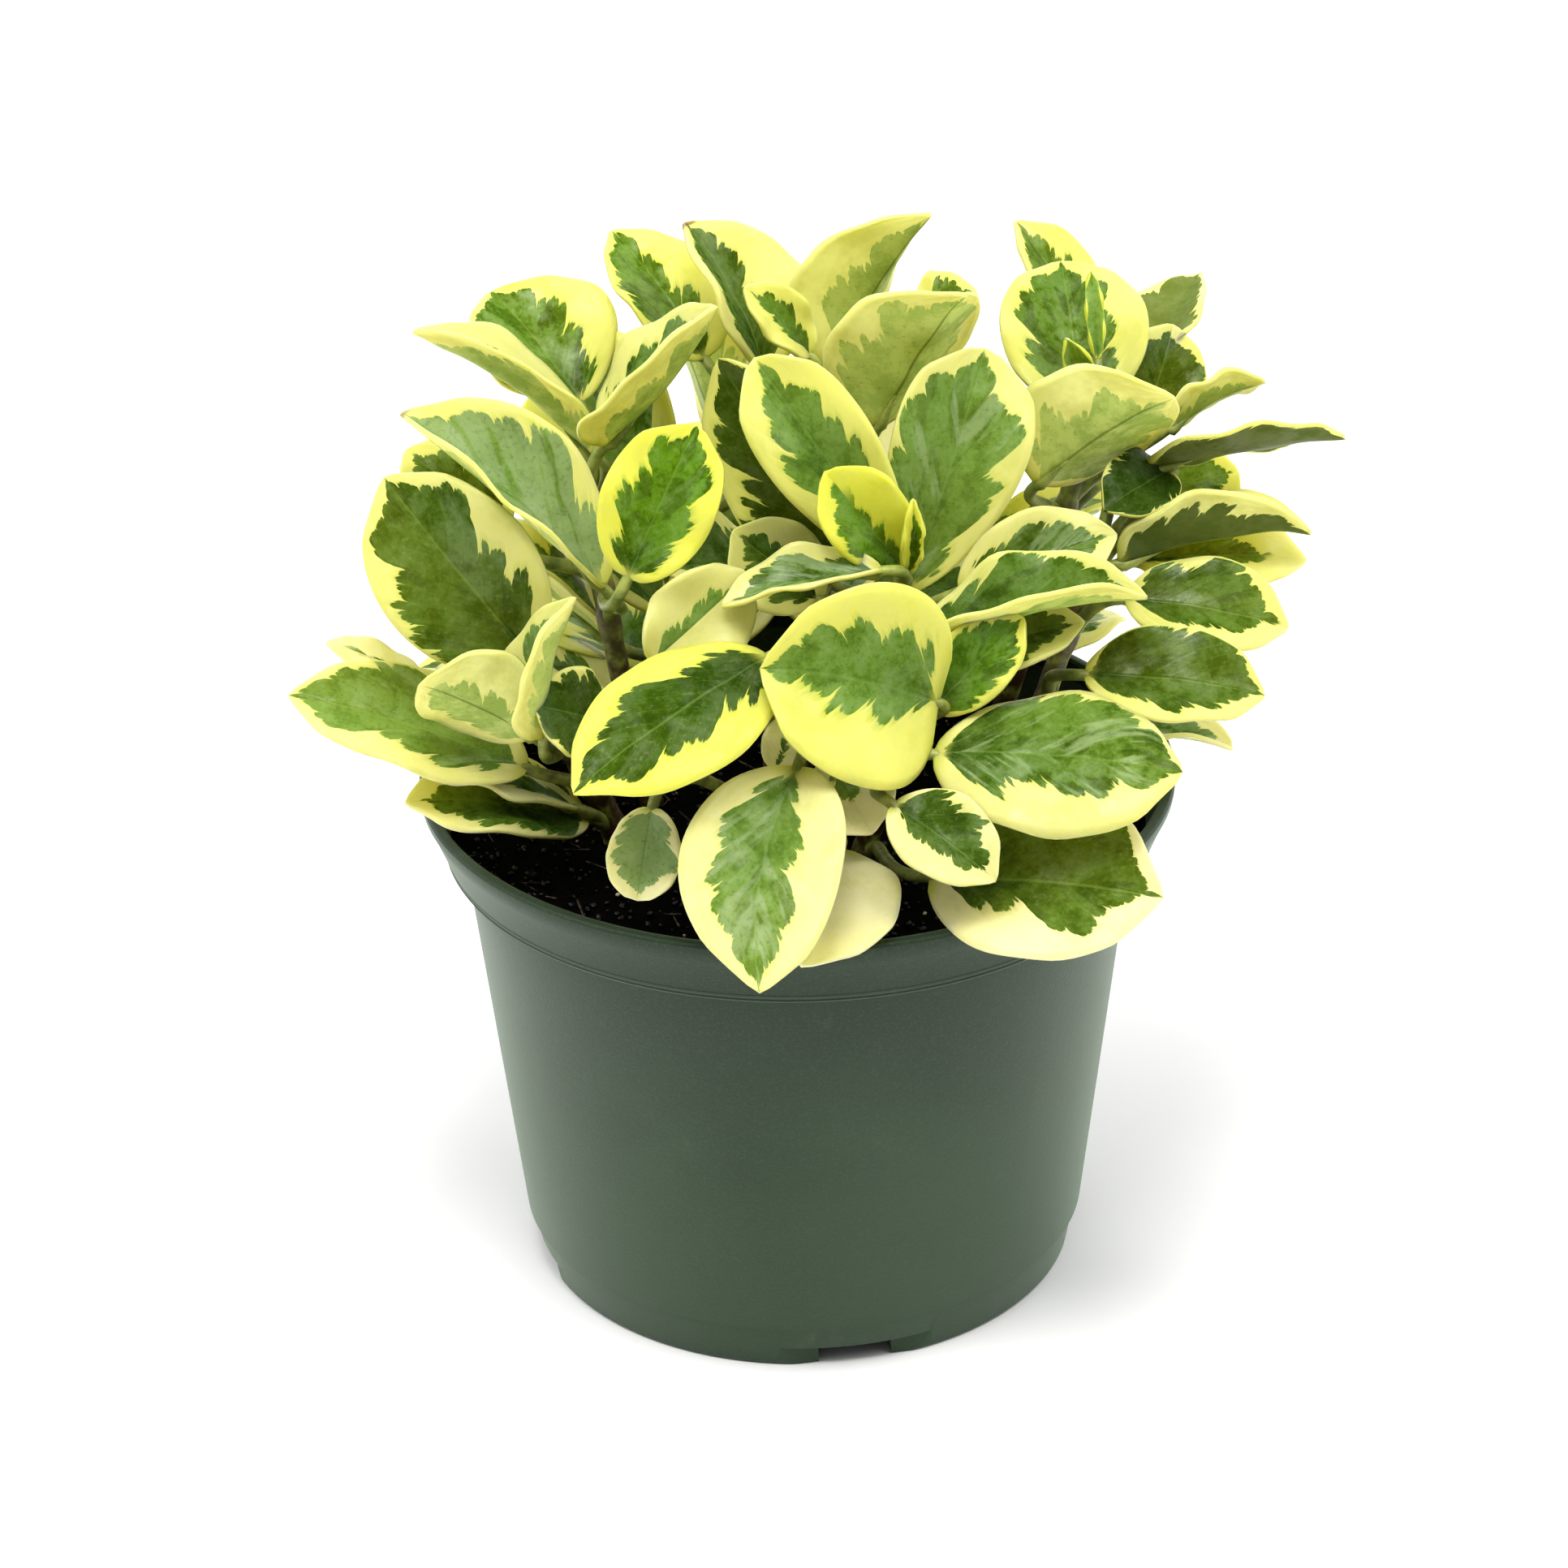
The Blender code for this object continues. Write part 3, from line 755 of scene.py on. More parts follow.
def addTube(shell, kindLayer, places, radii, sides, kinds):
    # a ring is extruded from place to place, turned to follow the path
    ahead = (places[1] - places[0]).normalized()
    turn = ahead.to_track_quat("Z", "Y")
    order = list(bmesh.ops.create_circle(shell, segments=sides, radius=mm, cap_ends=True)["verts"])
    flat = [vertex.co.copy() / mm for vertex in order]
    bmesh.ops.reverse_faces(shell, faces=list(order[0].link_faces))
    for index, (place, radius, kind) in enumerate(zip(places, radii, kinds)):
        if index:
            following = places[min(index + 1, len(places) - 1)]
            ahead = (following - places[index - 1]).normalized()
            turn = (turn @ Vector((0, 0, 1))).rotation_difference(ahead) @ turn
            order = nextRing(shell, order)
        for point, shape in zip(order, flat):
            point.co = toMetres(place + turn @ (shape * radius))
            point[kindLayer] = kind
    shell.faces.new(order)


def smoothRoute(route, steps):
    # one smooth run through the route's points
    points = [Vector(point) for point in route]
    points = [points[0] * 2 - points[1]] + points + [points[-1] * 2 - points[-2]]
    run = []
    for index in range(1, len(points) - 2):
        before, start, end, after = points[index - 1 : index + 3]
        for step in range(steps):
            share = step / steps
            curve = (end - before) * share
            curve += (before * 2 - start * 5 + end * 4 - after) * share**2
            curve += (start * 3 - before - end * 3 + after) * share**3
            run.append(start + curve / 2)
    return run + [points[-2]]


def stemPlace(route, height):
    # where a stem is at a height, and which way it runs there
    for low, high in zip(route, route[1:]):
        low, high = Vector(low), Vector(high)
        if height <= high.z or high == Vector(route[-1]):
            share = min(1.0, max(0.0, (height - low.z) / (high.z - low.z)))
            return low.lerp(high, share), (high - low).normalized()


def stalkRoute(row, number, route):
    # leaves the stem below the leaf, and arrives along the midrib
    base = leafPoint(row, number, 0.0, 0.0)
    end = leafPoint(row, number, stalkBuild["leafStart"], 0.0)
    low, top = Vector(route[0]), Vector(route[-1])
    flatGap = (stemPlace(route, base.z)[0] - base).xy.length
    height = base.z - stalkBuild["drop"] - stalkBuild["lean"] * flatGap
    height = min(max(height, low.z + stalkBuild["lowest"]), top.z - stalkBuild["highest"])
    root, upward = stemPlace(route, height)
    pull = (base - root).length * stalkBuild["handle"]
    leave = (upward + (base - root).normalized()).normalized()
    arrive = (end - base).normalized()
    return (root, root + leave * pull, base - arrive * pull, base)


def addStem(shell, kindLayer, route, stalks):
    foot, middle, top = (Vector(point) for point in route)
    bud = top + (top - middle).normalized() * stemBuild["budLength"]
    below = foot - Vector((0, 0, stemBuild["depth"]))
    above = foot + Vector((0, 0, stemBuild["upright"]))
    run = smoothRoute([below, above, middle, top], stemBuild["steps"]) + [top.lerp(bud, 0.5), bud]
    radii, kinds = [], []
    for place in run:
        grown = max(0.0, min(1.0, (place.z - foot.z) / (top.z - foot.z)))
        radius = stemBuild["radius"] + (stemBuild["topRadius"] - stemBuild["radius"]) * grown
        near = min((place - handles[0]).length for handles in stalks)
        scar = max(0.0, 1 - near / stemBuild["scarReach"])
        radii.append(radius * (1 + stemBuild["scarSwell"] * scar))
        kinds.append((1.0, scar, 0.0))
    radii[-2:] = [stemBuild["topRadius"] * stemBuild["budNeck"], stemBuild["budRadius"]]
    addTube(shell, kindLayer, run, radii, stemBuild["sides"], kinds)


def addStalk(shell, kindLayer, row, number, handles):
    # the petiole, then the midrib that runs on under the leaf and thins out
    size = stalkBuild
    slim = size["slimmest"] + (1 - size["slimmest"]) * min(1.0, row["width"] / size["fullWidth"])
    places, radii, kinds = [], [], []
    for step in range(size["steps"] + 1):
        share = step / size["steps"]
        places.append(curvePoint(handles, share))
        radii.append(slim * (size["radius"] + (size["endRadius"] - size["radius"]) * share))
        kinds.append((size["woody"], max(0.0, 1 - step / size["scarSteps"]), 0.0))
    radii[0] *= size["swell"]
    atLeaf = radii[-1]
    normal = leafFrame(row)[3]
    for step in range(1, size["ribSteps"] + 1):
        share = step / size["ribSteps"]
        radius = atLeaf * (1 - share) + size["ribRadius"]
        sink = size["ribSunk"] * radius + size["ribGap"]
        places.append(leafPoint(row, number, size["ribEnd"] * share, 0.0) - normal * sink)
        radii.append(radius)
        kinds.append((0.0, 0.0, 0.0))
    addTube(shell, kindLayer, places, radii, size["sides"], kinds)


def makeStalks(name, route, rows):
    shell = bmesh.new()
    kindLayer = shell.verts.layers.float_vector.new("stalkKind")
    stalks = [stalkRoute(row, number, route) for number, row in enumerate(rows)]
    addStem(shell, kindLayer, route, stalks)
    for number, (row, handles) in enumerate(zip(rows, stalks)):
        addStalk(shell, kindLayer, row, number, handles)
    return finishMesh(name, shell, [stalkSkin])


# Each stem: its route, then its leaves with their base, tip, width and facing, and what differs. On leaves
# deep inside the plant a high dark value is painted shade.

stemCentre = {
    "name": "Centre",
    "node": "stem_centre",
    "route": ((10, -4, 96), (14, -7, 122), (19, -12, 149)),
    "leaves": [
        leaf((22, -14, 152), (38, 4, 196), 29, (-80, 25), taper=(0.75, 0.42),
             green=(0.92, 0.72), span=(0.0, 0.98), grey=0.6, dark=-0.6),
        leaf((21, -16, 159), (-7, -8, 200), 23.5, (-95, 30), taper=(0.72, 0.42),
             green=(0.62, 0.6), span=(0.0, 0.98), grey=0.35, age=0.4, dark=-0.5),
        leaf((18, -4, 153), (-14, 6, 194), 32, (-125, 20), taper=(0.5, 0.6),
             green=(0.74, 1.0), span=(0.02, 1.1), dark=0.95, age=0.3),
        leaf((21, -20, 160), (6, -24, 183), 20, (-85, 30), fold=28, taper=(0.7, 0.42), wave=0.3,
             green=(0.8, 0.1), span=(0.0, 0.9), age=0.9, grey=0.0, dark=-0.1),
        leaf((22, -22, 160), (23, -27, 178), 6, (-80, 20), fold=40, wave=0,
             green=(0.25, 0.75), age=0.8),
        leaf((5, -8, 148), (-12, -5, 162), 20, (-110, 40), green=(0.6, 0.5), dark=0.4),
        leaf((17, -29, 164), (-14, -36, 160), 16, (-90, 80), fold=32,
             green=(0.6, 0.7), grey=0.8, age=-0.2),
        leaf((32, -18, 154), (63, -12, 163), 20, (-90, 50),
             green=(0.6, 0.9), grey=0.8, dark=0.2, age=-0.2),
    ],
}
stemBackCentre = {
    "name": "BackCentre",
    "node": "stem_back_centre",
    "route": ((2, 24, 96), (5, 22, 130), (8, 24, 170)),
    "leaves": [
        leaf((17, 12, 176), (34, 0, 209), 36, (110, 20), fold=26, taper=(0.45, 0.72),
             green=(0.8, 0.66), span=(0.0, 1.0), dark=-0.3),
        leaf((9, 29, 181), (28, 25, 216), 33, (125, 15), fold=34, taper=(0.45, 0.75),
             green=(0.8, 0.42), span=(0.0, 1.0), dark=0.18),
        leaf((26, 45, 186), (38, 50, 189), 14, (-90, 60), green=(0.6, 0.6)),
        leaf((4, 18, 189), (-9, 20, 203), 13.5, (-60, 40), fold=25, green=(0.2, 0.5), age=0.4),
        leaf((-5, 30, 181), (-21, 42, 208), 37, (-25, 40), fold=22, taper=(0.42, 0.6),
             green=(0.7, 0.4), span=(0.0, 1.05), burnt=0.8, dark=0.4),
        leaf((-17, 38, 180), (-36, 58, 200), 23, (-58, 45), fold=18, taper=(0.45, 0.6),
             green=(0.85, 0.36), span=(0.0, 1.03), age=0.4),
        # low leaves deep inside the plant: their dark value is painted shade
        leaf((-3, 17, 142), (-27, 9, 147), 27, (-100, 76), green=(0.85, 0.85), dark=0.6),
        leaf((13, 20, 136), (37, 5, 141), 26, (-60, 76), green=(0.8, 0.9), dark=0.5),
        leaf((3, 15, 120), (-13, -8, 122), 27, (-110, 74), green=(0.9, 0.8), dark=0.7),
    ],
}
stemLeftBack = {
    "name": "LeftBack",
    "node": "stem_left_back",
    "route": ((-30, 8, 96), (-36, 6, 130), (-40, 10, 158)),
    "leaves": [
        leaf((-38, 14, 169), (-74, 12, 198), 24, (18, 50), fold=34,
             green=(0.85, 0.5), grey=0.4, dark=0.2, burnt=0.3),
        leaf((-42, 26, 176), (-60, 42, 194), 35, (-55, 40), fold=18,
             green=(0.95, 0.52), span=(0.02, 1.06), grey=0.2, age=0.35),
        leaf((-37, 10, 174), (-14, 8, 204), 37, (172, 41), arch=-22, fold=30, taper=(0.4, 0.7),
             green=(0.7, 0.62), dark=0.1),
        leaf((-37, -18, 156), (-76, -5, 188), 33, (-32, 55), fold=26, cup=30,
             green=(0.85, 0.8), span=(0.0, 1.0), grey=1.3, dark=-0.6, burnt=0.6),
        leaf((-57, -5, 161), (-76, 5, 176), 22, (-70, 50), green=(0.6, 0.7), dark=0.3),
        leaf((-32, -30, 164), (-18, -22, 192), 24, (-95, 30), taper=(0.5, 0.45),
             green=(0.58, 0.7), span=(0.0, 1.06), age=0.8, grey=0.0),
        # a low leaf deep inside the plant: its dark value is painted shade
        leaf((-30, 0, 126), (-10, -14, 131), 25, (-110, 74), green=(0.9, 0.8), dark=0.7),
    ],
}
stemLeft = {
    "name": "Left",
    "node": "stem_left",
    "route": ((-37, -9, 96), (-42, -13, 112), (-47, -20, 129)),
    "leaves": [
        leaf((-51, -24, 144), (-79, -14, 179), 34, (-105, 30),
             green=(0.8, 0.66), span=(0.03, 1.04), grey=0.1, age=-0.1, dark=0.4),
        leaf((-51, -34, 132), (-72, -40, 147), 26, (70, 5), green=(0.35, 0.6)),
        leaf((-49, -38, 134), (-42, -36, 163), 24, (185, 18), fold=36, taper=(0.4, 0.7),
             green=(0.7, 0.6), grey=0.8, dark=-0.6),
        leaf((-37, -34, 135), (-51, -40, 142), 19, (-90, 40),
             green=(1.0, 0.92), span=(0.0, 1.1), dark=0.85),
        leaf((-53, -24, 120), (-99, -26, 138), 25, (-100, 58),
             green=(0.62, 0.95), span=(0.05, 1.06), grey=0.5, age=-0.3, dark=-0.6),
        leaf((-73, -14, 134), (-93, -5, 139), 8, (-90, 70), green=(0.05, 0.1), age=-0.6),
        leaf((-44, -18, 108), (-73, -30, 122), 14, (-90, 80), green=(0.25, 0.5), age=-0.5),
        leaf((-42, -15, 104), (-77, -32, 117), 22, (-90, 62), green=(0.75, 0.88), age=-0.4),
    ],
}
stemFront = {
    "name": "Front",
    "node": "stem_front",
    "route": ((13, -22, 96), (18, -27, 118), (23, -33, 138)),
    "leaves": [
        leaf((27, -42, 142), (-7, -52, 155), 42, (-90, 25), taper=(0.34, 0.5), bow=18,
             green=(0.28, 0.6), span=(0.02, 1.04), age=0.5, dark=-0.55),
        leaf((26, -37, 138), (44, -34, 156), 16, (-95, 35),
             green=(0.7, 0.72), span=(0.0, 1.02), age=0.6, grey=0.0),
        leaf((24, -30, 148), (68, -28, 157), 26, (-90, 85), fold=45,
             green=(0.75, 0.65), span=(0.0, 1.0), grey=0.4),
        leaf((25, -26, 140), (56, -26, 151), 18, (-90, 60), green=(0.9, 0.7), dark=0.4),
        leaf((26, -48, 134), (73, -58, 134), 34, (-85, 62), fold=0, cup=-15,
             green=(0.88, 0.48), span=(0.04, 1.06), grey=0.7, age=-0.1),
        leaf((18, -57, 128), (37, -72, 119), 19, (-82, 45), green=(0.8, 0.4), dark=0.4, age=-0.4),
        leaf((25, -55, 111), (69, -69, 113), 39, (-88, 50),
             green=(0.95, 0.48), span=(0.06, 0.99), dark=0.35, age=-0.9),
    ],
}
stemFrontLeft = {
    "name": "FrontLeft",
    "node": "stem_front_left",
    "route": ((-6, -22, 96), (-5, -28, 118), (-3, -34, 140)),
    "leaves": [
        leaf((-5, -41, 152), (-42, -75, 141), 28, (-100, 50), taper=(0.6, 0.7), fold=2, cup=-10,
             green=(0.52, 0.6), span=(0.0, 1.06), age=0.7, dark=0.85),
        leaf((-28, -37, 149), (-9, -29, 164), 21, (-75, 25), wave=3.2,
             green=(0.24, 0.0), grey=0.0, dark=-1.0, age=-0.2),
        leaf((0, -52, 134), (-8, -92, 107), 33, (-95, 35), bow=30,
             green=(0.36, 0.62), span=(0.0, 1.05), grey=0.9, age=-0.4, dark=-0.6),
        leaf((8, -50, 115), (0, -82, 107), 30, (-80, 40), green=(0.0, 0.0), age=-0.8),
        leaf((6, -45, 132), (14, -56, 121), 19, (-90, 40),
             green=(0.45, 0.35), span=(0.0, 0.6), age=-0.8, grey=0.6, dark=-0.5),
        leaf((-28, -55, 127), (-31, -68, 114), 15, (-90, 40), taper=(0.5, 0.38), point=0.1,
             green=(0.8, 0.85), grey=1.9, age=-0.7, dark=-1.0),
        leaf((-4, -46, 130), (0, -46, 143), 10, (-90, 30), green=(0.2, 0.1), age=-0.5),
    ],
}
stemRight = {
    "name": "Right",
    "node": "stem_right",
    "route": ((44, -6, 96), (50, -4, 125), (59, 0, 149)),
    "leaves": [
        leaf((56, -25, 139), (91, -30, 136), 23, (-88, 55),
             green=(0.95, 0.6), span=(0.02, 1.03), dark=0.45),
        leaf((65, -8, 147), (97, -12, 142), 22, (-80, 55), green=(0.95, 0.5), dark=0.3),
        leaf((68, 5, 149), (102, 6, 148), 20, (-85, 60), green=(0.5, 0.3), span=(0.0, 0.8), age=0.0),
        leaf((64, 0, 151), (102, -2, 158), 27, (92, 66), fold=45, taper=(0.45, 0.58),
             green=(0.15, 0.6), span=(0.0, 1.1), dark=1.0),
        leaf((75, 13, 165), (61, -3, 164), 16, (-90, 45), green=(1.0, 1.0), span=(0.0, 1.3), dark=1.0),
        leaf((70, 12, 166), (110, 15, 171), 22, (90, 52), arch=8, fold=10, wave=0.1, taper=(0.42, 0.58),
             green=(0.98, 0.98), span=(0.0, 1.1), dark=1.0),
        leaf((73, 22, 155), (90, 30, 157), 18, (-90, 50), green=(0.6, 0.5), age=0.5),
    ],
}
stemRightBack = {
    "name": "RightBack",
    "node": "stem_right_back",
    "route": ((40, 22, 96), (48, 18, 130), (57, 15, 166)),
    "leaves": [
        leaf((48, 5, 166), (74, -5, 189), 35, (100, 20), fold=22, taper=(0.45, 0.65),
             green=(0.95, 0.5)),
        leaf((58, 22, 173), (55, 48, 196), 32, (-85, 40), green=(0.72, 0.5), span=(0.0, 1.02), age=0.3),
        leaf((62, 50, 172), (46, 60, 200), 21, (-40, 40), fold=22,
             green=(0.75, 0.5), span=(0.0, 1.04), age=0.2),
        leaf((59, 15, 180), (54, 8, 196), 8, (-90, 30), fold=35, wave=0,
             green=(1.2, 1.2), span=(0.0, 1.3), age=0.9, dark=-1.0),
        leaf((61, 20, 186), (60, 30, 201), 5, (-90, 30), fold=40, wave=0,
             green=(1.2, 1.2), span=(0.0, 1.3), age=0.9, dark=-1.0),
        leaf((71, 38, 176), (85, 60, 188), 22, (-130, 35), fold=25, taper=(0.6, 1.1), wave=0.2, point=0.8,
             green=(0.9, 0.85), span=(0.0, 1.05), dark=0.9, flipped=True),
        leaf((70, 28, 167), (77, 38, 186), 20, (-70, 35), green=(0.9, 0.9), dark=0.7),
        leaf((75, 18, 172), (94, 18, 182), 16, (90, 50), green=(0.45, 0.5), dark=-0.5, grey=0.6),
    ],
}
stemRearRight = {
    "name": "RearRight",
    "node": "stem_rear_right",
    "route": ((22, 44, 96), (26, 42, 128), (28, 42, 158)),
    "leaves": [],
}
stemRearLeft = {
    "name": "RearLeft",
    "node": "stem_rear_left",
    "route": ((-20, 42, 96), (-25, 42, 128), (-28, 40, 158)),
    "leaves": [],
}
stems = [
    stemCentre,
    stemBackCentre,
    stemLeftBack,
    stemLeft,
    stemFront,
    stemFrontLeft,
    stemRight,
    stemRightBack,
    stemRearRight,
    stemRearLeft,
]

# Rings of leaves on the far side: headings, reach and height of bases and of tips, width, facing up
rings = {
    "Right": [((8,), (52, 110), (86, 110), 28, 62)],
    "RearRight": [
        ((38, 60, 81), (46, 113), (88, 113), 33, 62),
        ((38, 62, 82), (42, 130), (80, 146), 36, 48),
        ((50, 76), (36, 154), (66, 170), 33, 42),
    ],
    "RearLeft": [
        ((108, 129, 149, 168), (46, 113), (88, 113), 33, 62),
        ((109, 133, 156), (42, 130), (80, 149), 40, 48),
        ((109, 138), (36, 154), (66, 180), 44, 42),
    ],
}
ringTaper = (0.46, 0.52)
ringShift = 3.0
ringTurn = 7.0
ringLook = {
    "green": (0.35, 0.85),
    "start": (0.0, 0.1),
    "end": (0.85, 1.03),
    "grey": (0.0, 0.1, 0.3, 0.7),
    "age": (-0.7, 0.6),
}
seedRange = (0, 60)
ringPick = random.Random(6)
lookPick = random.Random(21)


def pickLook():
    return {
        "green": (lookPick.uniform(*ringLook["green"]), lookPick.uniform(*ringLook["green"])),
        "span": (lookPick.uniform(*ringLook["start"]), lookPick.uniform(*ringLook["end"])),
        "grey": lookPick.choice(ringLook["grey"]),
        "age": lookPick.uniform(*ringLook["age"]),
    }


def ringLeaves(name):
    rows = []
    for headings, baseAt, tipAt, width, up in rings.get(name, []):
        for heading in headings:
            shift = [ringPick.uniform(-ringShift, ringShift) for _ in range(4)]
            aim = math.radians(heading)
            tipAim = aim + math.radians(ringPick.uniform(-ringTurn, ringTurn))
            baseReach, tipReach = baseAt[0] + shift[0], tipAt[0] + shift[1]
            base = (baseReach * math.cos(aim), baseReach * math.sin(aim), baseAt[1] + shift[2])
            tip = (tipReach * math.cos(tipAim), tipReach * math.sin(tipAim), tipAt[1] + shift[3])
            rows.append(leaf(base, tip, width, (heading, up), taper=ringTaper, **pickLook()))
    return rows


for stem in stems:
    rows = stem["leaves"] + ringLeaves(stem["name"])
    seeds = [lookPick.uniform(*seedRange) for _ in rows]
    blades = makeBlades("blades" + stem["name"], rows, seeds)
    stalks = makeStalks("stalks" + stem["name"], stem["route"], rows)
    for piece in (blades, stalks):
        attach(piece, "root")
        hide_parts(stem["node"])
print("leaves and stalks grown on", len(stems), "stems")


# Pot: one moulded shell with a lip, a straight band, a bead, a tapered wall and a notched foot

potBuild = {
    "rimRadius": 76.2,
    "height": 107.5,
    "wall": 1.6,
    "lip": 2.5,
    "roll": 2.5,
    "bandFootRadius": 71.3,
    "bandFootZ": 93.4,
    "stepZ": 92.2,
    "bodyTopRadius": 67.7,
    "bodyFootRadius": 57.9,
    "footHeight": 9.9,
    "footTopRadius": 57.0,
    "footRadius": 55.3,
    "floor": 2.6,
    "edge": 0.4,
    "steps": 160,
    "rounding": 0.28,
    "roundingSteps": 2,
    "roundFrom": 28,
    "sharpFrom": 38,
}
# small steps of the profile, out and up from the place that each is named for
potSteps = {
    "insideLip": [(-0.6, -2.5)],
    "underLip": [(-0.15, 0.0), (-1.3, -2.3)],
    "bandBead": [(0.50, 1.5), (0.55, 1.3), (0.36, 1.1), (0.175, 0.5), (0.35, 0.2), (-0.3, -0.5)],
    "bodyTop": [(0.4, -0.3), (-0.05, -1.2)],
}
notchBuild = {
    "count": 4,
    "turn": -79.7,
    "outerRadius": 65.0,
    "recess": (53.7, 31.0, 4.2),
    "channel": (44.0, 15.0, 3.7),
}
potColours = {
    "body": (0.018, 0.035, 0.017),
    "pale": (0.031, 0.054, 0.030),
    # painted light: the body paler towards the foot, where light bounces up from the floor
    "foot": (0.036, 0.062, 0.034),
    # painted shade: the band and upper body darker under the leaves
    "band": (0.012, 0.020, 0.012),
    # painted highlight: pale lines where the bead's ridges catch the light
    "paintedHighlight": (0.10, 0.13, 0.10),
    "fleck": (0.052, 0.082, 0.050),
    "dust": (0.30, 0.28, 0.22),
    "speck": (0.012, 0.009, 0.006),
}
potNoises = {
    "cloud": (22.0, 3.0, 0.55),
    "fine": (1500.0, 2.0, 0.6),
    "dust": (60.0, 6.0, 0.75),
    "grain": (1900.0, 2.0, 0.5),
}
potFlow = {"stretch": (1.0, 1.0, 0.06), "noise": (160.0, 3.0, 0.6), "relief": 0.5}
potSpecks = {"scale": 55.0, "size": (0.05, 0.03), "chance": (0.93, 0.94)}
potGloss = {"paleFrom": (0.3, 0.7), "roughness": (0.38, 0.50), "bump": (0.35, 0.00012)}
# heights of the painted highlight lines on the bead
paintedHighlightLines = {"beadFoot": 0.0925, "beadTop": 0.0940}
paintedHighlightSpan = (0.00035, 0.00035 / 3)
potLayers = [
    ("flow", (0.5, 0.75), 0.25, "pale"),
    # painted bounce light from the floor, paler towards the foot
    ("height", (0.060, 0.0), 0.8, "foot"),
    # painted shade: darker towards the top, under the leaves
    ("height", (0.050, 0.090), 0.7, "band"),
    # painted highlight lines on the bead's ridges
    ("beadFoot", paintedHighlightSpan, 0.55, "paintedHighlight"),
    ("beadTop", paintedHighlightSpan, 0.55, "paintedHighlight"),
    ("fine", (0.45, 0.7), 0.25, "fleck"),
    ("dust", (0.60, 0.80), 0.12, "dust"),
    ("speck", None, 0.9, "speck"),
]


def potSpeck(place):
    cells = addTo("ShaderNodeTexVoronoi", {"Vector": place, "Scale": potSpecks["scale"]}).outputs
    chance = splitParts(cells["Color"])[0]
    dot = ease(cells["Distance"], *potSpecks["size"])
    return calc("MULTIPLY", dot, ease(chance, *potSpecks["chance"]))


def potMaterial():
    finish, tree, shader = startMaterial(
        "pottedPlastic",
        Specular_IOR_Level=0.40,
        Specular_Tint=(0.82, 1.0, 0.80, 1),
        Sheen_Weight=0.24,
        Sheen_Roughness=0.4,
        Sheen_Tint=(0.80, 1.0, 0.78, 1),
    )
    place = objectPlace(tree)
    masks = {name: noiseAt(place, *values) for name, values in potNoises.items()}
    tall = addTo("ShaderNodeMapping", {"Vector": place, "Scale": potFlow["stretch"]}).outputs[0]
    masks["flow"] = noiseAt(tall, *potFlow["noise"])
    masks["height"] = splitParts(place)[2]
    masks["speck"] = potSpeck(place)
    # painted highlight lines on the bead's ridges
    for name, line in paintedHighlightLines.items():
        masks[name] = calc("ABSOLUTE", calc("SUBTRACT", masks["height"], line))
    paler = ease(masks["cloud"], *potGloss["paleFrom"])
    colour = mixColour(paler, potColours["body"], potColours["pale"])
    colour = addLayers(colour, masks, potLayers, potColours)
    rough = remap(masks["cloud"], *potGloss["roughness"])
    wavy = calc("MULTIPLY_ADD", masks["flow"], potFlow["relief"], masks["grain"])
    bump = bumpOf(wavy, *potGloss["bump"])
    connect(shader, Base_Color=colour, Roughness=rough, Normal=bump)
    return finish


def stepsFrom(radius, height, kind):
    return [(radius + out, height + up) for out, up in potSteps[kind]]


def potProfile():
    size = potBuild
    rim, top, wall, edge = size["rimRadius"], size["height"], size["wall"], size["edge"]
    band, bandFoot, body = size["bandFootRadius"], size["bandFootZ"], size["bodyTopRadius"]
    mouth = rim - size["roll"]
    underLip = top - size["lip"]
    inner = [
        (0, size["floor"]),
        (size["footRadius"] - wall, size["floor"]),
        (size["bodyFootRadius"] - wall, size["footHeight"]),
        (body - wall, size["stepZ"] - wall / 2),
        (band - wall, bandFoot),
        *stepsFrom(rim - wall, underLip, "insideLip"),
        (mouth, underLip),
        (mouth, top - 2 * edge),
    ]
    outer = [
        (mouth + edge, top - 0.3 * edge),
        (rim - size["roll"] / 2, top),
        (rim - edge, top - 0.5 * edge),
        (rim, top - 2 * edge),
        *stepsFrom(rim, underLip, "underLip"),
        *stepsFrom(band, bandFoot, "bandBead"),
        *stepsFrom(body, size["stepZ"], "bodyTop"),
        (size["bodyFootRadius"], size["footHeight"]),
        (size["footTopRadius"], size["footHeight"] - edge),
        (size["footRadius"], edge),
        (size["footRadius"] - edge, 0),
        (0, 0),
    ]
    return inner + outer


def notchBlock(name, turn, innerRadius, width, height):
    # a block that stands across the foot, half of it below the ground
    shell = bmesh.new()
    bmesh.ops.create_cube(shell, size=1.0)
    long = notchBuild["outerRadius"] - innerRadius
    middle = (notchBuild["outerRadius"] + innerRadius) / 2
    matrix = Matrix.Rotation(turn, 3, "Z")
    bmesh.ops.scale(shell, vec=toMetres((long, width, 2 * height)), verts=shell.verts)
    bmesh.ops.translate(shell, vec=toMetres((middle, 0, 0)), verts=shell.verts)
    bmesh.ops.rotate(shell, cent=(0, 0, 0), matrix=matrix, verts=shell.verts)
    return finishMesh(name, shell, [])


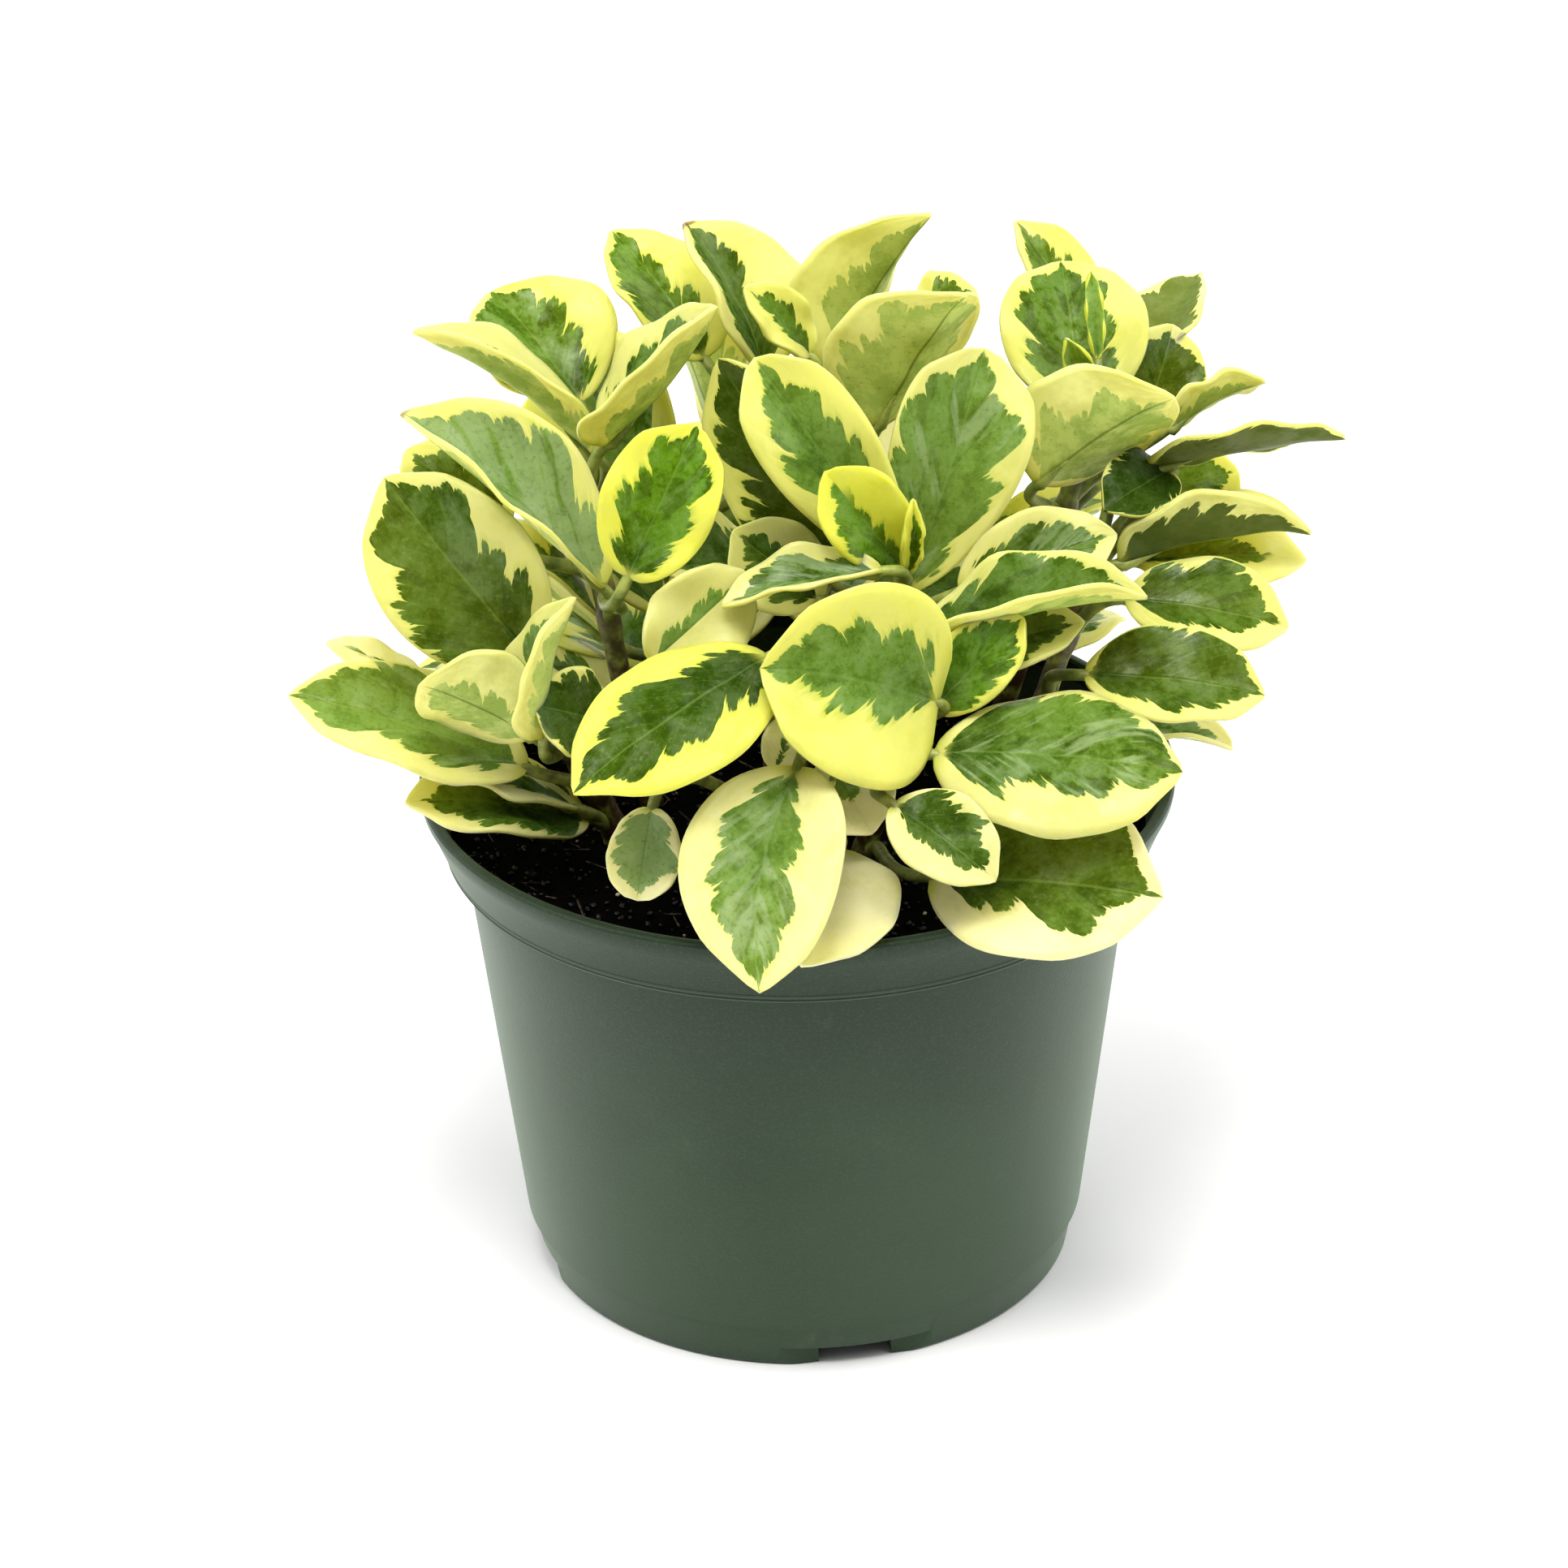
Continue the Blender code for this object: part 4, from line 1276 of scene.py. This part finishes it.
def makePot():
    pot = finishMesh("potShell", spinProfile(potProfile(), potBuild["steps"]), [potMaterial()])
    cutters = []
    for number in range(notchBuild["count"]):
        turn = math.radians(notchBuild["turn"] + number * 360 / notchBuild["count"])
        for kind in ("recess", "channel"):
            cutter = notchBlock(kind + str(number), turn, *notchBuild[kind])
            cutters.append(cutter)
            cut = pot.modifiers.new(kind, "BOOLEAN")
            cut.operation = "DIFFERENCE"
            cut.object = cutter
    rounded = pot.modifiers.new("rounding", "BEVEL")
    rounded.width = potBuild["rounding"] * mm
    rounded.segments = potBuild["roundingSteps"]
    rounded.limit_method = "ANGLE"
    rounded.angle_limit = math.radians(potBuild["roundFrom"])
    applyModifiers(pot)
    for cutter in cutters:
        bpy.data.objects.remove(cutter)
    pot.data.shade_smooth()
    pot.data.set_sharp_from_angle(angle=math.radians(potBuild["sharpFrom"]))
    return pot


pot = makePot()
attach(pot, "root")
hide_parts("pot")
print("pot made")


# Potting mix: a lumpy plug, crumbs, fibres and pale grit

soilBuild = {
    "top": 95.6,
    "gap": 0.35,
    "lumps": 1.5,
    "steps": 132,
    "ringGap": 1.6,
    "lumpFrom": 0.1,
    "flatEdge": 4.0,
    "edgeSink": 0.6,
    "crumbEdge": 3.0,
}
soilNoises = {
    "coarse": {"scale": 0.055, "shift": 3.7, "fade": 0.8, "finer": 2.1, "octaves": 4, "share": 0.8},
    "fine": {"scale": 0.33, "shift": 9.1, "fade": 0.7, "finer": 2.0, "octaves": 3, "share": 0.45},
}
soilColours = {
    "dark": (0.0006, 0.0005, 0.0005),
    "brown": (0.0040, 0.0028, 0.0020),
    "crumb": (0.010, 0.007, 0.005),
    "fibre": (0.26, 0.19, 0.135),
    "grit": (0.55, 0.48, 0.38),
    "gritDark": (0.42, 0.36, 0.26),
}
# two colours, roughness, scale, bump and shine of each finish
soilFinishes = {
    "dampPeat": ("dark", "brown", 0.85, 420.0, 0.9, 0.05),
    "peatCrumb": ("dark", "crumb", 0.24, 300.0, 0.8, 0.4),
    "peatFibre": ("crumb", "fibre", 0.45, 190.0, 0.5, 0.15),
    "paleGrit": ("grit", "gritDark", 0.7, 260.0, 0.5, 0.15),
}
soilTexture = {
    "spots": (5.0, 0.7),
    "blend": (0.42, 0.68),
    "grain": (4.0, 0.65),
    "finer": 3,
    "depth": 0.0006,
}
# a fibre has a range of thickness, and a crumb's other two sizes are shares of its first
crumbKinds = {
    "soilCrumbs": {"count": 1700, "size": (0.5, 1.9), "finish": "peatCrumb", "seed": 3},
    "soilFibres": {"count": 170, "size": (2.0, 9.0), "finish": "peatFibre", "seed": 5, "thin": (0.25, 0.6)},
    "soilGrit": {"count": 60, "size": (0.4, 1.4), "finish": "paleGrit", "seed": 7},
}
crumbShape = {"wide": (0.6, 1.0), "tall": (0.5, 0.9), "lumps": 0.35, "lumpScale": 1.7, "lift": 0.2}
fibreShape = {"sides": 5, "ends": (0.5, 0.3), "slope": 0.25, "lift": 0.35}


def soilMaterial(name):
    first, second, rough, scale, bump, shine = soilFinishes[name]
    finish, tree, shader = startMaterial(name, Roughness=rough, Specular_IOR_Level=shine)
    place = objectPlace(tree)
    spots = noiseAt(place, scale, *soilTexture["spots"])
    share = ease(spots, *soilTexture["blend"])
    colour = mixColour(share, soilColours[first], soilColours[second])
    grain = noiseAt(place, scale * soilTexture["finer"], *soilTexture["grain"])
    connect(shader, Base_Color=colour, Normal=bumpOf(grain, bump, soilTexture["depth"]))
    return finish


def soilHeight(x, y):
    rise = 0.0
    for layer in soilNoises.values():
        place = Vector((x * layer["scale"], y * layer["scale"], layer["shift"]))
        rise += layer["share"] * noise.fractal(place, layer["fade"], layer["finer"], layer["octaves"])
    return soilBuild["top"] + soilBuild["lumps"] * rise


def innerRadiusAt(height):
    size = potBuild
    low, high = size["bandFootZ"], size["height"] - size["lip"]
    share = (height - low) / (high - low)
    return size["bandFootRadius"] + share * (size["rimRadius"] - size["bandFootRadius"]) - size["wall"]


def makeSoil():
    size = potBuild
    gap, top = soilBuild["gap"], soilBuild["top"]
    inset = size["wall"] + gap
    edge = innerRadiusAt(top) - gap
    count = int(edge / soilBuild["ringGap"])
    profile = [(edge * step / count, top) for step in range(count + 1)]
    profile += [
        (size["bandFootRadius"] - inset, size["bandFootZ"] + gap),
        (size["bodyTopRadius"] - inset, size["stepZ"] - size["wall"] / 2 + gap),
        (size["bodyFootRadius"] - inset, size["footHeight"]),
        (size["footRadius"] - inset, size["floor"] + gap),
        (0, size["floor"] + gap),
    ]
    shell = spinProfile(profile, soilBuild["steps"])
    # the top is lumpy, and lies flat and a little lower along the wall
    low = top - soilBuild["edgeSink"]
    for vertex in shell.verts:
        if vertex.co.z > (top - soilBuild["lumpFrom"]) * mm:
            x, y = vertex.co.x / mm, vertex.co.y / mm
            inwards = (edge - math.hypot(x, y)) / soilBuild["flatEdge"]
            still = max(0.0, 1 - inwards)
            vertex.co.z = (soilHeight(x, y) * (1 - still) + low * still) * mm
    return finishMesh("soilPlug", shell, [soilMaterial("dampPeat")])


def addCrumb(shell, size, pick):
    made = bmesh.ops.create_icosphere(shell, subdivisions=1, radius=0.5)["verts"]
    wide, tall = pick.uniform(*crumbShape["wide"]), pick.uniform(*crumbShape["tall"])
    return made, Vector((size, size * wide, size * tall))


def addFibre(shell, size, pick, thin):
    first, second = fibreShape["ends"]
    made = bmesh.ops.create_cone(
        shell,
        cap_ends=True,
        segments=fibreShape["sides"],
        radius1=first,
        radius2=second,
        depth=1.0,
    )["verts"]
    scale = Vector((pick.uniform(*thin), pick.uniform(*thin), size))
    slope = pick.uniform(-fibreShape["slope"], fibreShape["slope"])
    return made, scale, Euler((math.pi / 2 + slope, 0, pick.uniform(0, 6)))


def makeCrumbs(name, count, size, finish, seed, thin=None):
    pick = random.Random(seed)
    shell = bmesh.new()
    limit = innerRadiusAt(soilBuild["top"]) - soilBuild["crumbEdge"]
    for _ in range(count):
        reach = limit * math.sqrt(pick.random())
        heading = pick.uniform(0, math.tau)
        spot = Vector((reach * math.cos(heading), reach * math.sin(heading), 0))
        length = pick.uniform(*size)
        # a crumb lies any way round, and a fibre gets a flatter turn of its own
        turn = Euler((pick.uniform(0, 3), pick.uniform(0, 3), pick.uniform(0, 6)))
        if thin:
            made, scale, turn = addFibre(shell, length, pick, thin)
            lift = fibreShape["lift"]
        else:
            made, scale = addCrumb(shell, length, pick)
            lift = length * crumbShape["lift"]
        height = Vector((0, 0, soilHeight(spot.x, spot.y) + lift))
        for vertex in made:
            point = vertex.co * scale
            point.rotate(turn)
            if not thin:
                lump = noise.noise(point * crumbShape["lumpScale"] + spot)
                point *= 1 + crumbShape["lumps"] * lump
            vertex.co = toMetres(point + spot + height)
    return finishMesh(name, shell, [soilMaterial(finish)], smooth=not thin)


soil = makeSoil()
crumbs = [makeCrumbs(name, **kind) for name, kind in crumbKinds.items()]
for piece in (soil, *crumbs):
    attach(piece, "root")
    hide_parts("soil")
print("potting mix made")


# Studio: pale floor, soft light and the camera

studio = {
    "floorSize": 6.0,
    "floorGap": 0.0003,
    "floor": (0.868, 0.868, 0.868, 1),
    "sky": (1.0, 1.0, 1.0, 1),
    "skyBehind": 1.05,
    "skyInFront": 0.26,
    "skyTurn": (-0.75, 0.15),
    "aim": (0, 0, 0.12),
}
lights = {
    "lightAbove": {"place": (-0.05, -0.54, 1.53), "size": 0.56, "power": 11.6, "colour": (1.0, 0.99, 0.98)},
    "leftLight": {"place": (-0.95, -0.35, 1.30), "size": 1.1, "power": 8.5, "colour": (1.0, 0.99, 0.97)},
    "rightLight": {"place": (0.95, -0.42, 1.30), "size": 1.1, "power": 8.0, "colour": (1.0, 0.99, 0.98)},
}
view = {
    "target": (-2.72, 0.0, 103.2),
    "distance": 1108.0,
    "down": 27.49,
    "roll": -1.01,
    "focalPixels": 6760.0,
    "imagePixels": 1932.0,
    "sensor": 36.0,
}


def addFloor():
    shell = bmesh.new()
    bmesh.ops.create_grid(shell, x_segments=1, y_segments=1, size=studio["floorSize"] / 2)
    bmesh.ops.translate(shell, vec=(0, 0, -studio["floorGap"]), verts=shell.verts)
    finish, _, _ = startMaterial(
        "studioFloor", Base_Color=studio["floor"], Roughness=0.9, Specular_IOR_Level=0.0
    )
    floor = finishMesh("studioFloor", shell, [finish], smooth=False)


def addLight(name, values):
    lamp = bpy.data.lights.new(name, "AREA")
    lamp.shape = "DISK"
    lamp.size = values["size"]
    lamp.energy = values["power"]
    lamp.color = values["colour"]
    light = bpy.data.objects.new(name, lamp)
    light.location = values["place"]
    aim = Vector(studio["aim"]) - light.location
    light.rotation_euler = aim.to_track_quat("-Z", "Y").to_euler()
    bpy.context.scene.collection.objects.link(light)


def addSky():
    # white behind and at the sides, dimmer on the camera's side
    world = bpy.data.worlds.new("studioSky")
    world.use_nodes = True
    tree = world.node_tree
    background = tree.nodes["Background"]
    background.inputs["Color"].default_value = studio["sky"]
    towards = addNode(tree, "ShaderNodeTexCoord").outputs["Generated"]
    behind = ease(splitParts(towards)[1], *studio["skyTurn"])
    strength = remap(behind, studio["skyInFront"], studio["skyBehind"])
    tree.links.new(strength, background.inputs["Strength"])
    bpy.context.scene.world = world


def addCamera():
    down, roll = math.radians(view["down"]), math.radians(view["roll"])
    ahead = Vector((0, math.cos(down), -math.sin(down)))
    right = Vector((1, 0, 0))
    up = right.cross(ahead)
    turnedRight = right * math.cos(roll) + up * math.sin(roll)
    turnedUp = up * math.cos(roll) - right * math.sin(roll)
    place = Matrix((turnedRight, turnedUp, -ahead)).transposed().to_4x4()
    place.translation = (Vector(view["target"]) - ahead * view["distance"]) * mm
    lens = bpy.data.cameras.new("camera")
    lens.sensor_width = view["sensor"]
    lens.lens = view["focalPixels"] / view["imagePixels"] * view["sensor"]
    lens.clip_start = 0.05
    camera = bpy.data.objects.new("camera", lens)
    camera.matrix_world = place
    bpy.context.scene.collection.objects.link(camera)
    bpy.context.scene.camera = camera


addFloor()
addSky()
for name, values in lights.items():
    addLight(name, values)
addCamera()
scene = bpy.context.scene
scene.view_settings.view_transform = "Standard"
scene.view_settings.look = "Medium High Contrast"
print("studio set")
